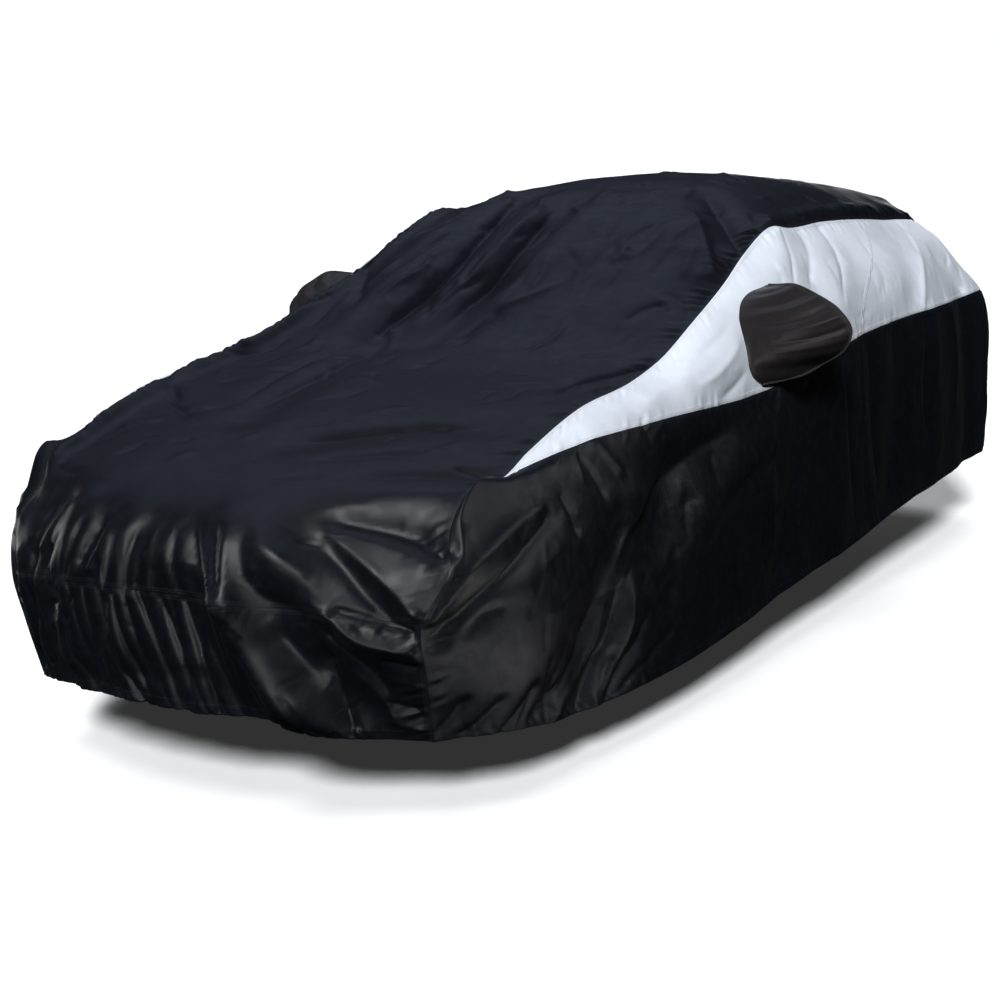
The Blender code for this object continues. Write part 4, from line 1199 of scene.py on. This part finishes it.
def make_pouch(tag, side, face_seam, rim, back_seam):
    """Face, back and piping of one pouch."""
    start, end = face_seam[0], face_seam[-1]
    out = np.array([side * PIPING_START, 0, 0])
    path = np.concatenate([[start + out, (start + out + rim[0]) / 2], rim,
                           [(end + out + rim[-1]) / 2, end + out]])
    node = "pouch_piping_" + tag
    name = node + "_cord"
    piping = add_piece(name, tube_mesh(name, path, PIPING_RADIUS), node, "piping")
    for part, seam, cells, bulge, lean, outward, pleats, sewn in (
            ("face", face_seam, FACE_CELLS, FACE_BULGE, FACE_LEAN, side, POUCH_PLEATS, [piping]),
            ("back", back_seam, BACK_CELLS, BACK_BULGE, BACK_LEAN, -side, [], [])):
        grid = pouch_grid(side, seam, rim, cells, bulge, lean)
        node = "pouch_" + part + "_" + tag
        lay(node + "_cloth", node, "pouch_cloth", pouch_panel(grid, outward, pleats), grid,
            sewn)


# ---- the cover ----------------------------------------------------------
def make_strip(plain, seams):
    """The long strip, gathered at its seams, with its slack rolled over the edges."""
    strip = creased(plain, -1, seams)
    high = ROOF_LOW + (1 - ROOF_LOW) * smoothstep((strip.grid[..., 2] - ROOF_FROM) / ROOF_EASE)
    strip.sew("hem", 0, 0, 11)
    strip.sew("hem", 0, -1, 12)
    strip.sew("roof", 1, 0, 13, high)
    strip.sew("roof", 1, -1, 14, high)
    strip.sew("cross", 0, row_index(FRONT_SEAM_ROW), 15)
    strip.sew("cross", 0, row_index(REAR_SEAM_ROW), 16)
    for column, rows in EDGE_ROLLS:
        strip.heights += edge_roll(strip, column, rows)
    strip.finish([(1, 0), (1, -1)])
    return strip


def make_front(plain, seams, seam_row, sewn_to):
    """The front's own finer sheet, sewn to a row of the long strip."""
    sheet = creased(plain, -1, seams)
    sheet.sew("hem", 0, 0, 11)
    sheet.sew("roof", 1, 0, 13, ROOF_LOW)
    sheet.sew("roof", 1, -1, 14, ROOF_LOW)
    sheet.sew("cross", 0, seam_row, 15)
    sheet.finish([(1, 0), (1, -1)])
    sewn = sheet.grid[seam_row]
    sewn[::FRONT_FINER] = sewn_to
    sewn[1::FRONT_FINER] = (sewn[:-2:FRONT_FINER] + sewn[2::FRONT_FINER]) / 2
    return sheet.cut(slice(0, seam_row + 1))


def make_side(plain, outward, seams, seed, belt, upright):
    """Gusset and side as one sheet, gathered at their seams."""
    sheet = creased(plain, outward, seams)
    for kind, axis, index in (("hem", 1, -1), ("gusset_top", 1, 0), ("belt", 1, belt),
                              ("upright", 0, upright), ("corner", 0, 0), ("corner", 0, -1)):
        sheet.sew(kind, axis, index, seed)
        seed += 1
    sheet.heights *= mouth_calm(sheet.grid)
    sheet.finish([(1, 0), (0, 0), (0, -1)])
    return sheet


def dress():
    """Make every cloth piece of the cover."""
    whole = long_strip()
    plain = nose_pull(whole)
    seams = (plain[::ACROSS_FINE, 0], plain[::ACROSS_FINE, -1])
    strip = make_strip(plain, seams)
    front, rear = row_index(FRONT_SEAM_ROW), row_index(REAR_SEAM_ROW)
    seam_row = FRONT_FINER * front
    plain_front = nose_pull(long_strip(FRONT_FINER))[:seam_row + SPARE_ROWS + 1]
    nose = make_front(plain_front, seams, seam_row, strip.grid[front])
    plain_front = plain_front[:seam_row + 1]
    fullness = flat_area(nose.grid) / flat_area(plain_front)

    top = lay("top_cloth", "top_panel", "black_cloth", strip.cut(slice(front, rear + 1)),
              plain[front:rear + 1])
    lay("front_cloth", "front_panel", "black_cloth", roll_hem(nose, 0, False),
        plain_front, fullness=fullness)
    lay("rear_cloth", "rear_panel", "black_cloth",
        roll_hem(strip.cut(slice(rear, None)), 0, True), plain[rear:])

    left = side_sheet(whole)
    upright = row_index(UPRIGHT_ROW) - row_index(TIP_ROW)
    belt = GUSSET_CELLS * ACROSS_FINE
    for tag, side, smooth, edge, seed in (
            ("left", 1, left, seams[1:], 20),
            ("right", -1, nose_pull(left * np.array([-1, 1, 1])), seams[:1], 30)):
        sheet = make_side(smooth, -side, edge, seed, belt, upright)
        face_seam, rim, back_seam = pouch_curves(side, sheet.grid)
        keep = outside_mouth(np.concatenate([face_seam, back_seam[-2:0:-1]])[:, 1:])
        for end, rows in (("front_", slice(0, upright + 1)), ("rear_", slice(upright, None))):
            node = "gusset_" + end + tag
            high, low = (rows, slice(0, belt + 1)), (rows, slice(belt, None))
            gusset = lay(node + "_cloth", node, "silver_cloth", sheet.cut(*high), smooth[high],
                         keep=keep if end == "front_" else None)
            node = "side_" + end + tag
            lay(node + "_cloth", node, "black_cloth", roll_hem(sheet.cut(*low), 1, True),
                smooth[low])
        make_pouch(tag, side, face_seam, rim, back_seam)


# ---- camera, floor and light --------------------------------------------
def add_camera():
    """Camera at the photograph's place and angle."""
    yaw, pitch, roll = np.radians([CAMERA_YAW, CAMERA_PITCH, CAMERA_ROLL])
    ahead = np.array([np.sin(yaw) * np.cos(pitch), np.cos(yaw) * np.cos(pitch), -np.sin(pitch)])
    right = np.array([np.cos(yaw), -np.sin(yaw), 0.0])
    up = np.cross(right, ahead)
    right, up = (np.cos(roll) * right + np.sin(roll) * up,
                 -np.sin(roll) * right + np.cos(roll) * up)
    data = bpy.data.cameras.new("camera")
    data.sensor_width = SENSOR_MM
    data.lens = SENSOR_MM * FOCAL_PIXELS / IMAGE_PIXELS
    data.clip_end = CAMERA_REACH
    camera = bpy.data.objects.new("camera", data)
    place = Matrix(np.column_stack([right, up, -ahead]).tolist()).to_4x4()
    place.translation = Vector(CAMERA_PLACE - REFERENCE)
    camera.matrix_world = place
    bpy.context.scene.collection.objects.link(camera)
    bpy.context.scene.camera = camera


def add_floor():
    """Plain pale floor."""
    corners = [(x * FLOOR_REACH, y * FLOOR_REACH, -REFERENCE[2])
               for x, y in ((-1, -1), (1, -1), (1, 1), (-1, 1))]
    data = bpy.data.meshes.new("floor")
    data.from_pydata(corners, [], [(0, 1, 2, 3)])
    nodes = Nodes(bpy.data.materials.new("floor_paint"))
    place = nodes.add("TexCoord").outputs["Object"]
    speck = nodes.ramp(nodes.grain(place, 3.0, 4.0), 0.3, 0.7)
    nodes.surface({"Base Color": nodes.blend(speck, FLOOR_GREY, FLOOR_PALE),
                   "Roughness": 0.9, "Specular IOR Level": 0.1,
                   "Emission Color": WHITE, "Emission Strength": FLOOR_GLOW})
    data.materials.append(nodes.owner)
    floor = bpy.data.objects.new("floor", data)
    bpy.context.scene.collection.objects.link(floor)
    floor.visible_diffuse = False
    floor.visible_glossy = False


def add_light(name, kind, toward, unseen, **settings):
    """Light that shines the given way, unseen by some kinds of ray."""
    data = bpy.data.lights.new(name, kind)
    for key, value in settings.items():
        setattr(data, key, value)
    light = bpy.data.objects.new(name, data)
    light.rotation_mode = "QUATERNION"
    light.rotation_quaternion = toward.to_track_quat("-Z", "Y")
    for rays in unseen:
        setattr(light, "visible_" + rays, False)
    bpy.context.scene.collection.objects.link(light)
    return light


def add_world():
    """White backdrop for the camera; for the rest a sky with a few bright lobes."""
    world = bpy.data.worlds.new("studio")
    bpy.context.scene.world = world
    world.cycles_visibility.diffuse = False
    nodes = Nodes(world)
    toward = nodes.add("TexCoord").outputs["Generated"]

    def share_toward(direction, low, high):
        """Share of one colour by how far a direction is faced."""
        facing = nodes.add("VectorMath", {0: toward, 1: Vector(direction).normalized()},
                           operation="DOT_PRODUCT")
        return nodes.ramp(facing.outputs["Value"], low, high)

    sky = SKY_BASE
    for direction, low, high, colour in SKY_LOBES:
        sky = nodes.blend(share_toward(direction, low, high), sky, colour)
    colour = nodes.blend(share_toward((0, 0, 1), *HORIZON_RISE), GROUND_DARK, sky)
    shown = nodes.tree.nodes["Background"]
    nodes.wire(shown, {"Color": WHITE})
    lit = nodes.add("Background", {"Color": colour})
    ray = nodes.add("LightPath").outputs["Is Camera Ray"]
    mix = nodes.add("MixShader", {0: ray, 1: lit.outputs[0], 2: shown.outputs[0]})
    nodes.wire(nodes.tree.nodes["World Output"], {0: mix.outputs[0]})


def light_scene():
    """Studio light from above and in front of the nose, as in the photograph."""
    bpy.context.scene.view_settings.view_transform = "Standard"
    add_world()
    for name, source, strength, width, colour in SUNS:
        add_light(name, "SUN", -Vector(source), ["glossy"], energy=strength, color=colour,
                  angle=np.radians(width))
    for name, place, aim, width, height, power in BOXES:
        box = add_light(name, "AREA", Vector(aim) - Vector(place), ["camera", "diffuse"],
                        shape="RECTANGLE", size=width, size_y=height, energy=power)
        box.location = Vector(np.array(place) - REFERENCE)


add_camera()
looks = {slot: cloth_material(*row) for slot, row in CLOTHS.items()}
looks["piping"] = cord_material(*CORD)
dress()
add_floor()
light_scene()
